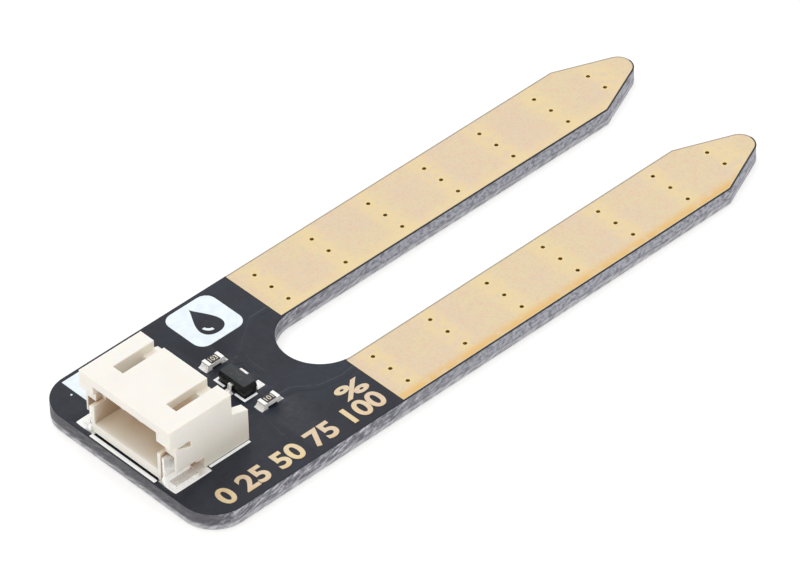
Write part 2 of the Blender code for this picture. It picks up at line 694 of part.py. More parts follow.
def chip_resistor(root, name):
    """Alumina chip with its resistive film and black overcoat, and a wrap-round terminal at each end."""
    centre = RESISTOR_Y[name]
    base = PART_BASE + TERMINAL_LIFT
    half = RESISTOR_WIDTH / 2
    end = RESISTOR_LENGTH / 2
    inner = end - TERMINAL_PLATE - CLEARANCE
    chip_low = base + TERMINAL_PLATE + CLEARANCE
    chip_high = base + RESISTOR_HEIGHT - TERMINAL_PLATE - CLEARANCE
    chip = block(RESISTOR_X - inner, RESISTOR_X + inner, centre - half, centre + half, chip_low, chip_high)
    add_piece(root, name + "_ceramic", chip, "alumina")
    film_low = chip_high + CLEARANCE
    film_high = film_low + FILM_THICKNESS
    film = block(RESISTOR_X - 0.45, RESISTOR_X + 0.45, centre - 0.28, centre + 0.28, film_low, film_high)
    add_piece(root, name + "_film", film, "resistive_film")
    coat_low = film_high + CLEARANCE
    edge = half - 0.02
    coat = frustum([
        (RESISTOR_X - 0.46, RESISTOR_X + 0.46, centre - edge, centre + edge, coat_low),
        (RESISTOR_X - 0.43, RESISTOR_X + 0.43, centre - edge + 0.03, centre + edge - 0.03, coat_low + 0.03),
    ])
    add_piece(root, name + "_overcoat", coat, "black_glaze")
    for end_name, sign in (("header_end", -1), ("prong_end", 1)):
        terminal = [
            (end - TERMINAL_LIP, base),
            (end, base),
            (end, base + RESISTOR_HEIGHT),
            (end - TERMINAL_LIP, base + RESISTOR_HEIGHT),
            (end - TERMINAL_LIP, base + RESISTOR_HEIGHT - TERMINAL_PLATE),
            (end - TERMINAL_PLATE, base + RESISTOR_HEIGHT - TERMINAL_PLATE),
            (end - TERMINAL_PLATE, base + TERMINAL_PLATE),
            (end - TERMINAL_LIP, base + TERMINAL_PLATE),
        ]
        low = TRACK_TOP + CLEARANCE
        touch = end + CLEARANCE
        fillet = [
            (0.5, low),
            (1.08, low),
            (1.02, low + 0.04),
            (end + 0.08, base + 0.2),
            (touch, base + 0.34),
            (touch, base - CLEARANCE),
            (0.5, base - CLEARANCE),
        ]
        pieces = (("_terminal", terminal, half, "tin_plate"), ("_solder", fillet, half + 0.01, "solder"))
        for suffix, profile, reach, finish in pieces:
            placed = [(RESISTOR_X + sign * x, z) for x, z in profile]
            solid = prism(placed, centre - reach, centre + reach, place=across)
            add_piece(root, name + "_" + end_name + suffix, solid, finish)


# ---------------------------------------------------------------------------------------------
# Transistor

LEAD_LOW = PART_BASE + 0.55
LEAD_THICKNESS = 0.12
LEAD_HIGH = LEAD_LOW + LEAD_THICKNESS
LEADS = {"collector": (-1, 0.0), "base": (1, -LEAD_OFFSET), "emitter": (1, LEAD_OFFSET)}
COLLECTOR_INNER = 0.2
LEAD_INNER = 0.3
PADDLE_HALF = 0.45
DIE_THICKNESS = 0.12
DIE_LOW = LEAD_HIGH + CLEARANCE
WIRE_SIZE = 0.05
WIRE_X = 0.045
MOULD_GAP = 0.015
SKIN = 0.001


def lead_profile(sign, inner):
    """Side view of one gull-wing lead, from inside the moulding out to the foot."""
    foot = PART_BASE + FOOT_LIFT
    outline = [
        (inner, LEAD_LOW),
        (0.72, LEAD_LOW),
        (0.86, foot),
        (1.25, foot),
        (1.25, foot + LEAD_THICKNESS),
        (0.97, foot + LEAD_THICKNESS),
        (0.83, LEAD_HIGH),
        (inner, LEAD_HIGH),
    ]
    return [(TRANSISTOR_X + sign * x, z) for x, z in outline]


def bond_path(side):
    """Side view of a bond wire, drawn in YZ, from the die up and over to the lead's inner end."""
    die_top = DIE_LOW + DIE_THICKNESS
    return [
        (side * 0.1, die_top + 0.02),
        (side * 0.2, die_top + 0.14),
        (side * 0.5, die_top + 0.12),
        (side * 0.8 * LEAD_OFFSET, LEAD_HIGH + 0.03),
    ]


def void_block(low_x, high_x, low_y, high_y, low_z, high_z):
    """Room in the moulding for an inner part, a little larger than that part."""
    gap = MOULD_GAP
    return block(low_x - gap, high_x + gap, low_y - gap, high_y + gap, low_z - gap, high_z + gap)


def transistor_lead(name):
    """One lead with its inner pad, and the room that the moulding leaves for both."""
    x = TRANSISTOR_X
    sign, y = LEADS[name]
    half = LEAD_WIDTH / 2
    if name == "collector":
        inner = COLLECTOR_INNER
        pad = (x - 0.4, x + 0.18, -PADDLE_HALF, PADDLE_HALF)
    else:
        inner = LEAD_INNER
        pad = (x + LEAD_INNER + MOULD_GAP, x + 0.5, *sorted((y, y * 0.7)))
    lead = prism(lead_profile(sign, inner), y - half, y + half, place=across)
    lead = join(lead, [block(*pad, LEAD_LOW + SKIN, LEAD_HIGH - SKIN)])
    low_x, high_x = sorted((x + sign * inner, x + sign))
    voids = [
        void_block(low_x, high_x, y - half, y + half, LEAD_LOW, LEAD_HIGH),
        void_block(*pad, LEAD_LOW, LEAD_HIGH),
    ]
    return lead, voids


def bond_wire(side):
    """One wire, and the room for its arch and for its end over the lead."""
    x = TRANSISTOR_X + WIRE_X
    half = WIRE_SIZE / 2
    reach = half + MOULD_GAP
    wire = prism(track_outline(bond_path(side), WIRE_SIZE), x - half, x + half, place=lengthwise)
    sleeve = track_outline(bond_path(side), 2 * reach)
    end_y = span(side, 0.55, 0.8 * LEAD_OFFSET + 0.05)
    voids = [
        prism(sleeve, x - reach, x + reach, place=lengthwise),
        block(x - half - 0.03, TRANSISTOR_X + 0.335, *end_y, LEAD_HIGH - MOULD_GAP, LEAD_HIGH + 0.08),
    ]
    return wire, voids


def transistor(root):
    """Three-lead moulded transistor with its die, lead frame and bond wires."""
    x = TRANSISTOR_X
    voids = []
    for name in LEADS:
        lead, room = transistor_lead(name)
        voids += room
        add_piece(root, "transistor_" + name + "_lead", lead, "tin_plate")
    die = (x - 0.3, x + 0.1, -0.2, 0.2, DIE_LOW, DIE_LOW + DIE_THICKNESS)
    add_piece(root, "transistor_die", block(*die), "silicon")
    voids.append(void_block(*die))
    for name, side in (("base_bond_wire", -1), ("emitter_bond_wire", 1)):
        wire, room = bond_wire(side)
        voids += room
        add_piece(root, name, wire, "gold_wire")
    body = frustum([
        (x - 0.58, x + 0.58, -1.38, 1.38, PART_BASE + 0.1),
        (x - 0.65, x + 0.65, -1.45, 1.45, LEAD_LOW + LEAD_THICKNESS / 2),
        (x - 0.57, x + 0.57, -1.37, 1.37, PART_BASE + 1.1),
    ])
    add_piece(root, "transistor_body", cut(body, voids), "black_epoxy")
    for name, (sign, y) in LEADS.items():
        mound = frustum([
            (*sorted((x + sign * 0.82, x + sign * 1.5)), y - 0.33, y + 0.33, TRACK_TOP + CLEARANCE),
            (*sorted((x + sign * 0.86, x + sign * 1.38)), y - 0.26, y + 0.26, PART_BASE + 0.1),
        ])
        half = LEAD_WIDTH / 2 + CLEARANCE
        foot = block(*sorted((x + sign * 0.6, x + sign * (1.25 + CLEARANCE))), y - half, y + half,
                     PART_BASE + CLEARANCE, PART_BASE + 1.0)
        add_piece(root, "transistor_" + name + "_solder", cut(mound, [foot]), "solder")


def build():
    for obj in list(bpy.data.objects):
        bpy.data.objects.remove(obj, do_unlink=True)
    root = bpy.data.objects.new("soil_moisture_sensor", None)
    bpy.context.scene.collection.objects.link(root)
    fr4_core(root)
    top_solder_mask(root)
    bottom_solder_mask(root)
    electrodes(root)
    copper_nets(root)
    header_housing(root)
    contact_pins(root)
    solder_tabs(root)
    header_joints(root)
    for name in RESISTOR_Y:
        chip_resistor(root, name)
    transistor(root)


build()
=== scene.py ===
# Soil moisture sensor: the visual model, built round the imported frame.
# Lengths are millimetres unless a name ends in _M; add_piece() scales each mesh to metres.
# +X runs along the prongs, +Z is up, and the board's lower face lies at z = 0.
from math import acos, atan2, ceil, cos, hypot, pi, radians, sin

import bmesh
import bpy
from mathutils import Matrix, Vector, noise
from mathutils.geometry import delaunay_2d_cdt


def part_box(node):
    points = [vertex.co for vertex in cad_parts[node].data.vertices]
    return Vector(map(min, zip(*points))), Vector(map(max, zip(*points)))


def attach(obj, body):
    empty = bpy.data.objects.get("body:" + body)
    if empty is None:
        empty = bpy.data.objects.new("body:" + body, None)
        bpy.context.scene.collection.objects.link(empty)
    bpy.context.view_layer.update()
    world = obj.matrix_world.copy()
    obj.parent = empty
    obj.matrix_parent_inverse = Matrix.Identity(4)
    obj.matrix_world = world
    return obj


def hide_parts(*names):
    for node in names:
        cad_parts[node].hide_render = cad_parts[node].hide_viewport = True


MM = 0.001
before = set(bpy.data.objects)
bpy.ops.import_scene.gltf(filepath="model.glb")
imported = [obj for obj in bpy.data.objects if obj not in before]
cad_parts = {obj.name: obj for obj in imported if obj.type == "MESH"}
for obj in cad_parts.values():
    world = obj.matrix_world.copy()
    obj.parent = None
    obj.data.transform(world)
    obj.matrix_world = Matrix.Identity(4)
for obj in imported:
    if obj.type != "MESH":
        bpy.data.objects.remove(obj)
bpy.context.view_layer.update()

# Board, as in the CAD part.
BOARD_LENGTH = 60.0
BOARD_WIDTH = 20.0
BOARD_TOP = 1.6
SHEET = 0.04
CORNER_RADIUS = 3.0
SLOT_WIDTH = 7.0
SLOT_ROOT_X = -9.7
CHAMFER_X = 24.4
TIP_RADIUS = 1.3
PRONG_WIDTH = (BOARD_WIDTH - SLOT_WIDTH) / 2
PRONG_CENTRE = (BOARD_WIDTH - PRONG_WIDTH) / 2
CORE_LOW = 0.04
CORE_HIGH = 1.55
GOLD_MARGIN = 0.13
GOLD_START_X = -10.46
VIA_BORE = 0.165
VIA_BARREL = 0.225
VIA_ROW_START_X = -8.73
VIA_ROW_PITCH = 5.976
VIA_ROWS = 6
VIA_PITCH = 1.905
VIA_OFFSET = -0.15
TIP_ROW_X = 26.18

# Components.
RESISTOR_X = -17.84
RESISTOR_Y = {"pulldown_resistor": 3.2, "series_resistor": -3.0}
TRANSISTOR_X = -18.25
LEAD_OFFSET = 0.95
PIN_Y = {"signal_pin": -2.0, "supply_pin": 0.0, "ground_pin": 2.0}
PIN_BEND = -23.0

# Windows in the mask over the pads, as (low x, high x, low y, high y).
WINDOWS = [(-23.93, -20.37, y - 0.53, y + 0.53) for y in PIN_Y.values()]
WINDOWS += [(-29.62, -25.87, 3.57, 5.6), (-29.62, -25.87, -5.6, -3.57)]
WINDOWS += [(-19.83, -18.97, -0.43, 0.43), (-17.53, -16.62, -1.33, -0.47), (-17.53, -16.62, 0.47, 1.33)]
for centre_y in RESISTOR_Y.values():
    WINDOWS.append((RESISTOR_X - 1.15, RESISTOR_X - 0.42, centre_y - 0.48, centre_y + 0.48))
    WINDOWS.append((RESISTOR_X + 0.42, RESISTOR_X + 1.15, centre_y - 0.48, centre_y + 0.48))

# Centre lines of the tracks under the mask.
TOP_TRACKS = [
    [(-20.8, 2.0), (-20.0, 2.8), (-19.3, 3.2), (-18.6, 3.2)],
    [(-20.8, 0.0), (-19.2, 0.0)],
    [(-20.05, 0.0), (-20.05, -2.0), (-19.3, -3.0), (-18.6, -3.0)],
    [(-17.0, 0.9), (-17.0, 3.2)],
    [(-17.0, 2.1), (-16.1, 2.1)],
    [(-24.7, -2.0), (-23.5, -2.0)],
    [(-10.0, 4.9), (-12.3, 4.9), (-15.6, 2.5), (-15.9, 1.2), (-15.9, -0.2), (-16.9, -0.9)],
    [(-10.0, -4.6), (-11.9, -4.8), (-14.0, -4.4), (-15.6, -3.1), (-17.0, -3.0)],
]
BOTTOM_TRACKS = [[(-16.1, 2.1), (-17.2, 2.1), (-21.3, -2.0), (-24.7, -2.0)]]
TENTED_VIAS = [(-16.1, 2.1), (-24.7, -2.0)]
RIDGE_HEIGHT = 0.02
RIDGE_FLAT = 0.15
RIDGE_EDGE = 0.3


# ---- Outlines


def arc(centre_x, centre_y, radius, start, end, steps):
    points = []
    for step in range(steps + 1):
        angle = start + (end - start) * step / steps
        points.append((centre_x + radius * cos(angle), centre_y + radius * sin(angle)))
    return points


def circle(centre, radius, sides=24):
    return arc(centre[0], centre[1], radius, 0.0, 2 * pi * (sides - 1) / sides, sides - 1)


def prong_end(margin):
    """Pointed end of the +Y prong, from its inner edge round the tip to its outer edge."""
    tip_x = BOARD_LENGTH / 2 - TIP_RADIUS
    run = CHAMFER_X - tip_x
    rise = PRONG_WIDTH / 2
    slope = atan2(rise, run) - acos(TIP_RADIUS / hypot(run, rise))
    radius = TIP_RADIUS - margin
    edge = rise - margin
    corner_x = tip_x + (radius - sin(slope) * edge) / cos(slope)
    points = [(corner_x, PRONG_CENTRE - edge)]
    points += arc(tip_x, PRONG_CENTRE, radius, -slope, slope, 20)
    points.append((corner_x, PRONG_CENTRE + edge))
    return points


def mirrored(points):
    """The outline on the other side of the board's middle line, still counter-clockwise."""
    return [(x, -y) for x, y in reversed(points)]


def board_outline(inset=0.0):
    left = -BOARD_LENGTH / 2 + CORNER_RADIUS
    side = BOARD_WIDTH / 2 - CORNER_RADIUS
    radius = CORNER_RADIUS - inset
    slot = SLOT_WIDTH / 2 + inset
    points = arc(left, -side, radius, pi, 1.5 * pi, 24)
    points += mirrored(prong_end(inset))
    points += arc(SLOT_ROOT_X, 0.0, slot, -pi / 2, -1.5 * pi, 60)
    points += prong_end(inset)
    points += arc(left, side, radius, pi / 2, pi, 24)
    return points


def electrode_outline(margin):
    start = GOLD_START_X + margin - GOLD_MARGIN
    low = PRONG_CENTRE - PRONG_WIDTH / 2 + margin
    high = PRONG_CENTRE + PRONG_WIDTH / 2 - margin
    return [(start, low)] + prong_end(margin) + [(start, high)]


def subdivided(outline, inset, spacing):
    """The outline at this inset, with its long sides split. The count doesn't depend on the inset."""
    base = outline(0.0)
    moved = outline(inset)
    points = []
    for i in range(len(base)):
        length = hypot(base[i][0] - base[i - 1][0], base[i][1] - base[i - 1][1])
        pieces = max(1, ceil(length / spacing))
        (x0, y0), (x1, y1) = moved[i - 1], moved[i]
        for step in range(1, pieces + 1):
            t = step / pieces
            points.append((x0 + (x1 - x0) * t, y0 + (y1 - y0) * t))
    return points


def rounded_box(box, radius, steps=6):
    low_x, high_x, low_y, high_y = box
    points = arc(low_x + radius, low_y + radius, radius, pi, 1.5 * pi, steps)
    points += arc(high_x - radius, low_y + radius, radius, 1.5 * pi, 2 * pi, steps)
    points += arc(high_x - radius, high_y - radius, radius, 0.0, pi / 2, steps)
    points += arc(low_x + radius, high_y - radius, radius, pi / 2, pi, steps)
    return points


def via_centres(side):
    """Plated holes of one prong: rows of three, and one row of two near the tip."""
    centres = []
    via_centre = PRONG_CENTRE + VIA_OFFSET
    for row in range(VIA_ROWS):
        for column in (-1, 0, 1):
            centres.append((VIA_ROW_START_X + row * VIA_ROW_PITCH, side * (via_centre + column * VIA_PITCH)))
    for column in (-0.5, 0.5):
        centres.append((TIP_ROW_X, side * (via_centre + column * VIA_PITCH)))
    return centres


def inside(point, polygon):
    x, y = point
    crossings = 0
    for i in range(len(polygon)):
        (x0, y0), (x1, y1) = polygon[i - 1], polygon[i]
        if (y0 > y) != (y1 > y) and x < x0 + (x1 - x0) * (y - y0) / (y1 - y0):
            crossings += 1
    return crossings % 2 == 1


def smoothstep(value):
    value = min(max(value, 0.0), 1.0)
    return value * value * (3 - 2 * value)


# ---- Meshes


class Shell:
    """A closed mesh put together from rings of points."""

    def __init__(self):
        self.points = []
        self.faces = []

    def ring(self, outline, z):
        start = len(self.points)
        self.points += [(x, y, z) for x, y in outline]
        return list(range(start, len(self.points)))

    def wall(self, lower, upper):
        for i in range(len(lower)):
            self.faces.append((lower[i - 1], lower[i], upper[i], upper[i - 1]))

    def stack(self, rings):
        for lower, upper in zip(rings, rings[1:]):
            self.wall(lower, upper)

    def skin(self, outer, holes=(), extra=()):
        """Triangles between an outer ring and its holes, through the extra points."""
        indices = list(outer)
        for hole in holes:
            indices += hole
        indices += extra
        place = {index: i for i, index in enumerate(indices)}
        loops = [outer, *holes]
        edges = [(place[loop[i - 1]], place[loop[i]]) for loop in loops for i in range(len(loop))]
        flat = [Vector(self.points[index][:2]) for index in indices]
        result = delaunay_2d_cdt(flat, edges, [], 1, 1e-9)
        owner = {index: number for number, hole in enumerate(holes) for index in hole}
        shapes = [[self.points[index][:2] for index in hole] for hole in holes]
        for face in result[2]:
            corners = [indices[result[3][i][0]] for i in face]
            owners = {owner.get(index) for index in corners}
            if len(owners) == 1 and None not in owners:
                middle = [sum(self.points[index][axis] for index in corners) / 3 for axis in (0, 1)]
                if inside(middle, shapes[owners.pop()]):
                    continue
            self.faces.append(tuple(corners))

    def mesh(self):
        bm = bmesh.new()
        verts = [bm.verts.new(point) for point in self.points]
        for face in self.faces:
            bm.faces.new([verts[i] for i in face])
        loose = [vert for vert in bm.verts if not vert.link_faces]
        bmesh.ops.delete(bm, geom=loose, context="VERTS")
        bmesh.ops.recalc_face_normals(bm, faces=bm.faces)
        return bm


SHARP_ANGLE = radians(50)
LEVEL_ANGLE = radians(0.2)
LARGE_AREA = 0.02 * MM * MM


def shade(bm):
    """Smooth shading, with creases at real corners and round every large flat face."""
    for face in bm.faces:
        face.smooth = True
    for edge in bm.edges:
        if len(edge.link_faces) != 2:
            continue
        angle = edge.calc_face_angle(0.0)
        large = max(face.calc_area() for face in edge.link_faces) > LARGE_AREA
        edge.smooth = not (angle > SHARP_ANGLE or (large and angle > LEVEL_ANGLE))


def new_object(name, data):
    made = bpy.data.objects.new(name, data)
    bpy.context.scene.collection.objects.link(made)
    return made


def add_piece(name, bm, material, slot, *nodes):
    """Turn a mesh in millimetres into a piece on the board, and hide the CAD nodes it stands for."""
    for vert in bm.verts:
        vert.co *= MM
    shade(bm)
    mesh = bpy.data.meshes.new(name)
    bm.to_mesh(mesh)
    bm.free()
    mesh.materials.append(material)
    piece = new_object(name, mesh)
    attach(piece, "root")
    if nodes:
        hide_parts(*nodes)
    return piece


def plate(outline, holes, levels):
    """Closed sheet. levels holds (inset, z) from the bottom up; holes widen as the outline narrows."""
    shell = Shell()
    outer = [shell.ring(outline(inset), z) for inset, z in levels]
    inner = [[shell.ring(hole(inset), z) for inset, z in levels] for hole in holes]
    shell.stack(outer)
    for rings in inner:
        shell.stack(rings)
    shell.skin(outer[0], [rings[0] for rings in inner])
    shell.skin(outer[-1], [rings[-1] for rings in inner])
    return shell.mesh()


def box_hole(box, radius):
    """A rounded rectangle that grows with the inset it is given."""
    def hole(inset):
        low_x, high_x, low_y, high_y = box
        grown = (low_x - inset, high_x + inset, low_y - inset, high_y + inset)
        return rounded_box(grown, radius + inset, 4)
    return hole


# ---- Materials


class Finish:
    """Short-hand for one procedural material. Its texture space is millimetres in the part's frame."""

    def __init__(self, name, roughness, metallic=0.0):
        self.material = bpy.data.materials.new(name)
        self.material.use_nodes = True
        tree = self.material.node_tree
        self.nodes = tree.nodes
        self.links = tree.links
        self.shader = self.nodes["Principled BSDF"]
        self.shader.inputs["Metallic"].default_value = metallic
        self.put("Roughness", roughness)
        coordinates = self.node("TexCoord")
        scaled = self.node("VectorMath")
        scaled.operation = "SCALE"
        scaled.inputs["Scale"].default_value = 1 / MM
        self.links.new(coordinates.outputs["Object"], scaled.inputs[0])
        self.place = scaled.outputs[0]

    def node(self, kind):
        return self.nodes.new("ShaderNode" + kind)

    def put(self, name, value):
        self.feed(self.shader.inputs[name], value)

    def feed(self, socket, value):
        if isinstance(value, bpy.types.NodeSocket):
            self.links.new(value, socket)
        elif isinstance(value, tuple):
            socket.default_value = (*value, 1.0)
        else:
            socket.default_value = value

    def noise(self, scale, detail=3.0, stretch=(1.0, 1.0, 1.0)):
        mapping = self.node("Mapping")
        mapping.inputs["Scale"].default_value = stretch
        self.links.new(self.place, mapping.inputs["Vector"])
        texture = self.node("TexNoise")
        texture.inputs["Scale"].default_value = scale
        texture.inputs["Detail"].default_value = detail
        texture.inputs["Roughness"].default_value = 0.5
        self.links.new(mapping.outputs[0], texture.inputs["Vector"])
        return texture.outputs[0]

    def field(self, first, second, first_scale, second_scale, detail):
        """Noise over two measured distances, each with its own scale per millimetre."""
        joined = self.node("CombineXYZ")
        self.feed(joined.inputs[0], self.times(first, first_scale))
        self.feed(joined.inputs[1], self.times(second, second_scale))
        texture = self.node("TexNoise")
        texture.inputs["Scale"].default_value = 1.0
        texture.inputs["Detail"].default_value = detail
        self.links.new(joined.outputs[0], texture.inputs["Vector"])
        return texture.outputs[0]

    def shelter(self, distance):
        """1 in the open and towards 0 in a corner, judged over this distance in millimetres."""
        node = self.node("AmbientOcclusion")
        node.samples = 8
        node.inputs["Distance"].default_value = distance * MM
        return node.outputs["AO"]

    def range(self, value, low, high, to_low=0.0, to_high=1.0):
        node = self.node("MapRange")
        node.interpolation_type = "SMOOTHSTEP"
        self.feed(node.inputs["Value"], value)
        limits = {"From Min": low, "From Max": high, "To Min": to_low, "To Max": to_high}
        for socket, number in limits.items():
            node.inputs[socket].default_value = number
        return node.outputs[0]

    def math(self, operation, first, second=0.0):
        node = self.node("Math")
        node.operation = operation
        self.feed(node.inputs[0], first)
        self.feed(node.inputs[1], second)
        return node.outputs[0]

    def times(self, first, second):
        return self.math("MULTIPLY", first, second)

    def mix(self, factor, first, second):
        node = self.node("Mix")
        node.data_type = "RGBA"
        self.feed(node.inputs[0], factor)
        self.feed(node.inputs[6], first)
        self.feed(node.inputs[7], second)
        return node.outputs[2]

    def axis(self, name):
        node = self.node("SeparateXYZ")
        self.links.new(self.place, node.inputs[0])
        return node.outputs[name]

    def facing(self, name):
        """One component of the direction the surface faces."""
        geometry = self.node("NewGeometry")
        node = self.node("SeparateXYZ")
        self.links.new(geometry.outputs["True Normal"], node.inputs[0])
        return node.outputs[name]

    def attribute(self, name):
        node = self.node("Attribute")
        node.attribute_name = name
        return node.outputs["Fac"]

    def bump(self, height, depth):
        """Bump of this depth in millimetres."""
        node = self.node("Bump")
        node.inputs["Strength"].default_value = 1.0
        node.inputs["Distance"].default_value = depth * MM
        self.feed(node.inputs["Height"], height)
        self.links.new(node.outputs[0], self.shader.inputs["Normal"])


def mask_finish():
    """Satin black lacquer with a blue-grey cast and fine dust, and a painted highlight on +Y edges and on
    the +Y prong borders.
    """
    finish = Finish("mask", 0.42)
    cloud = finish.noise(0.35, 4.0)
    grain = finish.noise(9.0, 2.0)
    colour = finish.mix(finish.range(cloud, 0.35, 0.68), (0.0045, 0.0072, 0.0165), (0.0095, 0.0135, 0.027))
    colour = finish.mix(finish.range(grain, 0.62, 0.78), colour, (0.036, 0.036, 0.052))
    # Painted highlight: faces turned towards +Y are paler.
    colour = finish.mix(finish.range(finish.facing("Y"), 0.12, 0.5, 0.0, 0.75), colour, (0.45, 0.45, 0.48))
    # Painted highlight: only the +Y half of each prong gets the pale border.
    width = finish.axis("Y")
    right = finish.times(finish.range(width, -6.8, -6.6), finish.range(width, 0.5, -0.5))
    border = finish.math("MAXIMUM", finish.range(width, 6.6, 6.8), right)
    border = finish.times(border, finish.range(finish.axis("X"), GOLD_START_X, GOLD_START_X + 0.1))
    border = finish.times(border, finish.range(finish.axis("Z"), 0.6, 1.0))
    colour = finish.mix(border, colour, (0.44, 0.41, 0.40))
    finish.put("Base Color", colour)
    finish.put("Roughness", finish.range(finish.noise(2.2, 3.0), 0.3, 0.7, 0.34, 0.48))
    finish.put("Specular IOR Level", 0.44)
    finish.bump(finish.noise(5.0, 3.0), 0.006)
    return finish.material


def laminate_finish():
    """Cut edge of dark glass laminate: slanting streaks by the header, paler and dotted on the prongs."""
    finish = Finish("laminate", 0.7)
    height = finish.axis("Z")
    length = finish.axis("X")
    along = finish.math("SUBTRACT", length, finish.axis("Y"))
    slant = finish.math("SUBTRACT", along, finish.times(height, 1.7))
    streak = finish.field(slant, height, 1.5, 2.6, 5.0)
    patch = finish.field(along, height, 0.45, 1.2, 2.0)
    weave = finish.field(along, height, 2.4, 3.2, 2.0)
    fleck = finish.noise(5.5, 3.0)
    rough = finish.mix(finish.range(streak, 0.38, 0.62), (0.11, 0.11, 0.14), (0.33, 0.325, 0.37))
    bright = finish.times(finish.range(streak, 0.54, 0.66), finish.range(patch, 0.38, 0.58))
    rough = finish.mix(bright, rough, (0.58, 0.57, 0.63))
    rough = finish.mix(finish.range(fleck, 0.55, 0.68, 0.0, 0.7), rough, (0.10, 0.10, 0.13))
    rough = finish.mix(finish.range(fleck, 0.42, 0.32, 0.0, 0.6), rough, (0.55, 0.54, 0.60))
    pale = finish.mix(finish.range(weave, 0.40, 0.60), (0.37, 0.375, 0.43), (0.22, 0.225, 0.27))
    pale = finish.mix(finish.range(weave, 0.58, 0.68, 0.0, 0.7), pale, (0.12, 0.12, 0.15))
    pale = finish.mix(finish.range(fleck, 0.54, 0.66, 0.0, 0.5), pale, (0.47, 0.475, 0.53))
    reach = finish.math("ADD", length, finish.times(finish.math("SUBTRACT", patch, 0.5), 8.0))
    colour = finish.mix(finish.range(reach, -14.0, 2.0), rough, pale)
    level = finish.math("ADD", height, finish.times(finish.math("SUBTRACT", patch, 0.5), 0.5))
    foot = finish.mix(finish.range(streak, 0.35, 0.65), (0.27, 0.27, 0.30), (0.52, 0.52, 0.56))
    colour = finish.mix(finish.range(level, 0.62, 0.42), colour, foot)
    line = finish.times(finish.range(level, 0.42, 0.52), finish.range(level, 0.68, 0.58))
    colour = finish.mix(finish.times(line, 0.4), colour, (0.09, 0.09, 0.11))
    front = finish.times(finish.range(length, -27.2, -29.3), finish.range(height, 0.2, 0.8))
    colour = finish.mix(finish.times(front, 0.84), colour, (0.07, 0.07, 0.08))
    finish.put("Base Color", colour)
    finish.bump(finish.math("ADD", streak, fleck), 0.04)
    return finish.material


def gold_finish():
    """Immersion gold over rolled copper: pale, mottled pink to yellow, with a painted warm reflection along
    each prong's -Y edge and a painted highlight on its rims.
    """
    finish = Finish("gold", 0.38, 1.0)
    cloud = finish.noise(0.28, 3.0)
    mottle = finish.noise(1.3, 4.0)
    fine = finish.noise(4.5, 3.0)
    brush = finish.noise(3.0, 3.0, (0.25, 1.6, 1.0))
    colour = finish.mix(finish.range(cloud, 0.38, 0.62), (0.818, 0.66, 0.491), (0.829, 0.689, 0.449))
    colour = finish.mix(finish.range(mottle, 0.45, 0.70, 0.0, 0.75), colour, (0.865, 0.654, 0.479))
    colour = finish.mix(finish.range(brush, 0.45, 0.75, 0.0, 0.45), colour, (0.771, 0.683, 0.503))
    colour = finish.mix(finish.range(fine, 0.42, 0.72, 0.0, 0.5), colour, (0.737, 0.584, 0.409))
    distance = finish.math("SUBTRACT", finish.axis("X"), VIA_ROW_START_X)
    wave = finish.math("COSINE", finish.times(distance, 2 * pi / VIA_ROW_PITCH))
    rows = finish.times(finish.range(wave, 0.0, 1.0, 0.0, 0.75), finish.range(mottle, 0.3, 0.6))
    colour = finish.mix(rows, colour, (0.888, 0.724, 0.421))
    across = finish.axis("Y")
    # Painted warm reflection along the -Y edge of each prong: orange on the right prong, yellow on the left.
    outer = finish.times(finish.range(across, -8.8, -9.75), finish.range(mottle, 0.2, 0.5))
    colour = finish.mix(outer, colour, (0.853, 0.567, 0.239))
    inner = finish.times(finish.range(across, 5.0, 3.77), finish.range(across, 3.0, 3.7))
    colour = finish.mix(finish.times(inner, 0.5), colour, (0.912, 0.737, 0.421))
    # Painted highlight on the sheet's rounded rim and around each plated hole.
    colour = finish.mix(finish.attribute("rim_highlight"), colour, (0.888, 0.724, 0.409))
    finish.put("Base Color", colour)
    finish.put("Roughness", finish.range(mottle, 0.3, 0.75, 0.34, 0.48))
    finish.bump(finish.math("ADD", mottle, finish.times(brush, 0.5)), 0.004)
    return finish.material


def nylon_finish():
    """Natural nylon: ivory, faintly translucent and finely grained, with painted shade that darkens
    sheltered places and browns the plug cavity.
    """
    finish = Finish("nylon", 0.45)
    cloud = finish.noise(0.5, 3.0)
    grain = finish.noise(14.0, 3.0)
    colour = finish.mix(finish.range(cloud, 0.35, 0.7), (0.83, 0.812, 0.775), (0.815, 0.79, 0.75))
    shelter = finish.shelter(5.0)
    # Painted shade: sheltered places take a darker, warmer tone.
    colour = finish.mix(finish.range(shelter, 0.45, 0.90), (0.81, 0.765, 0.68), colour)
    below_roof = finish.range(finish.axis("Z"), 5.7, 5.3)
    within_walls = finish.range(finish.axis("Y"), -4.6, -4.3)
    cavity = finish.times(below_roof, within_walls)
    # Painted shade: the most sheltered parts of the plug cavity turn brown.
    cavity_shade = finish.times(finish.range(shelter, 0.60, 0.05), cavity)
    colour = finish.mix(cavity_shade, colour, (0.79, 0.60, 0.42))
    # Painted shadow: the cavity's side faces turned towards -Y turn dark brown.
    turned_away = finish.range(finish.facing("Y"), -0.3, -0.8)
    wall_shade = finish.times(finish.range(shelter, 0.82, 0.45), turned_away)
    colour = finish.mix(finish.times(wall_shade, cavity), colour, (0.50, 0.36, 0.25))
    finish.put("Base Color", colour)
    finish.put("Roughness", finish.range(grain, 0.3, 0.7, 0.40, 0.55))
    finish.put("Subsurface Weight", 0.35)
    finish.shader.inputs["Subsurface Radius"].default_value = (1.0, 0.55, 0.32)
    finish.shader.inputs["Subsurface Scale"].default_value = 0.5 * MM
    finish.bump(finish.math("ADD", grain, finish.noise(2.0, 2.0)), 0.008)
    return finish.material


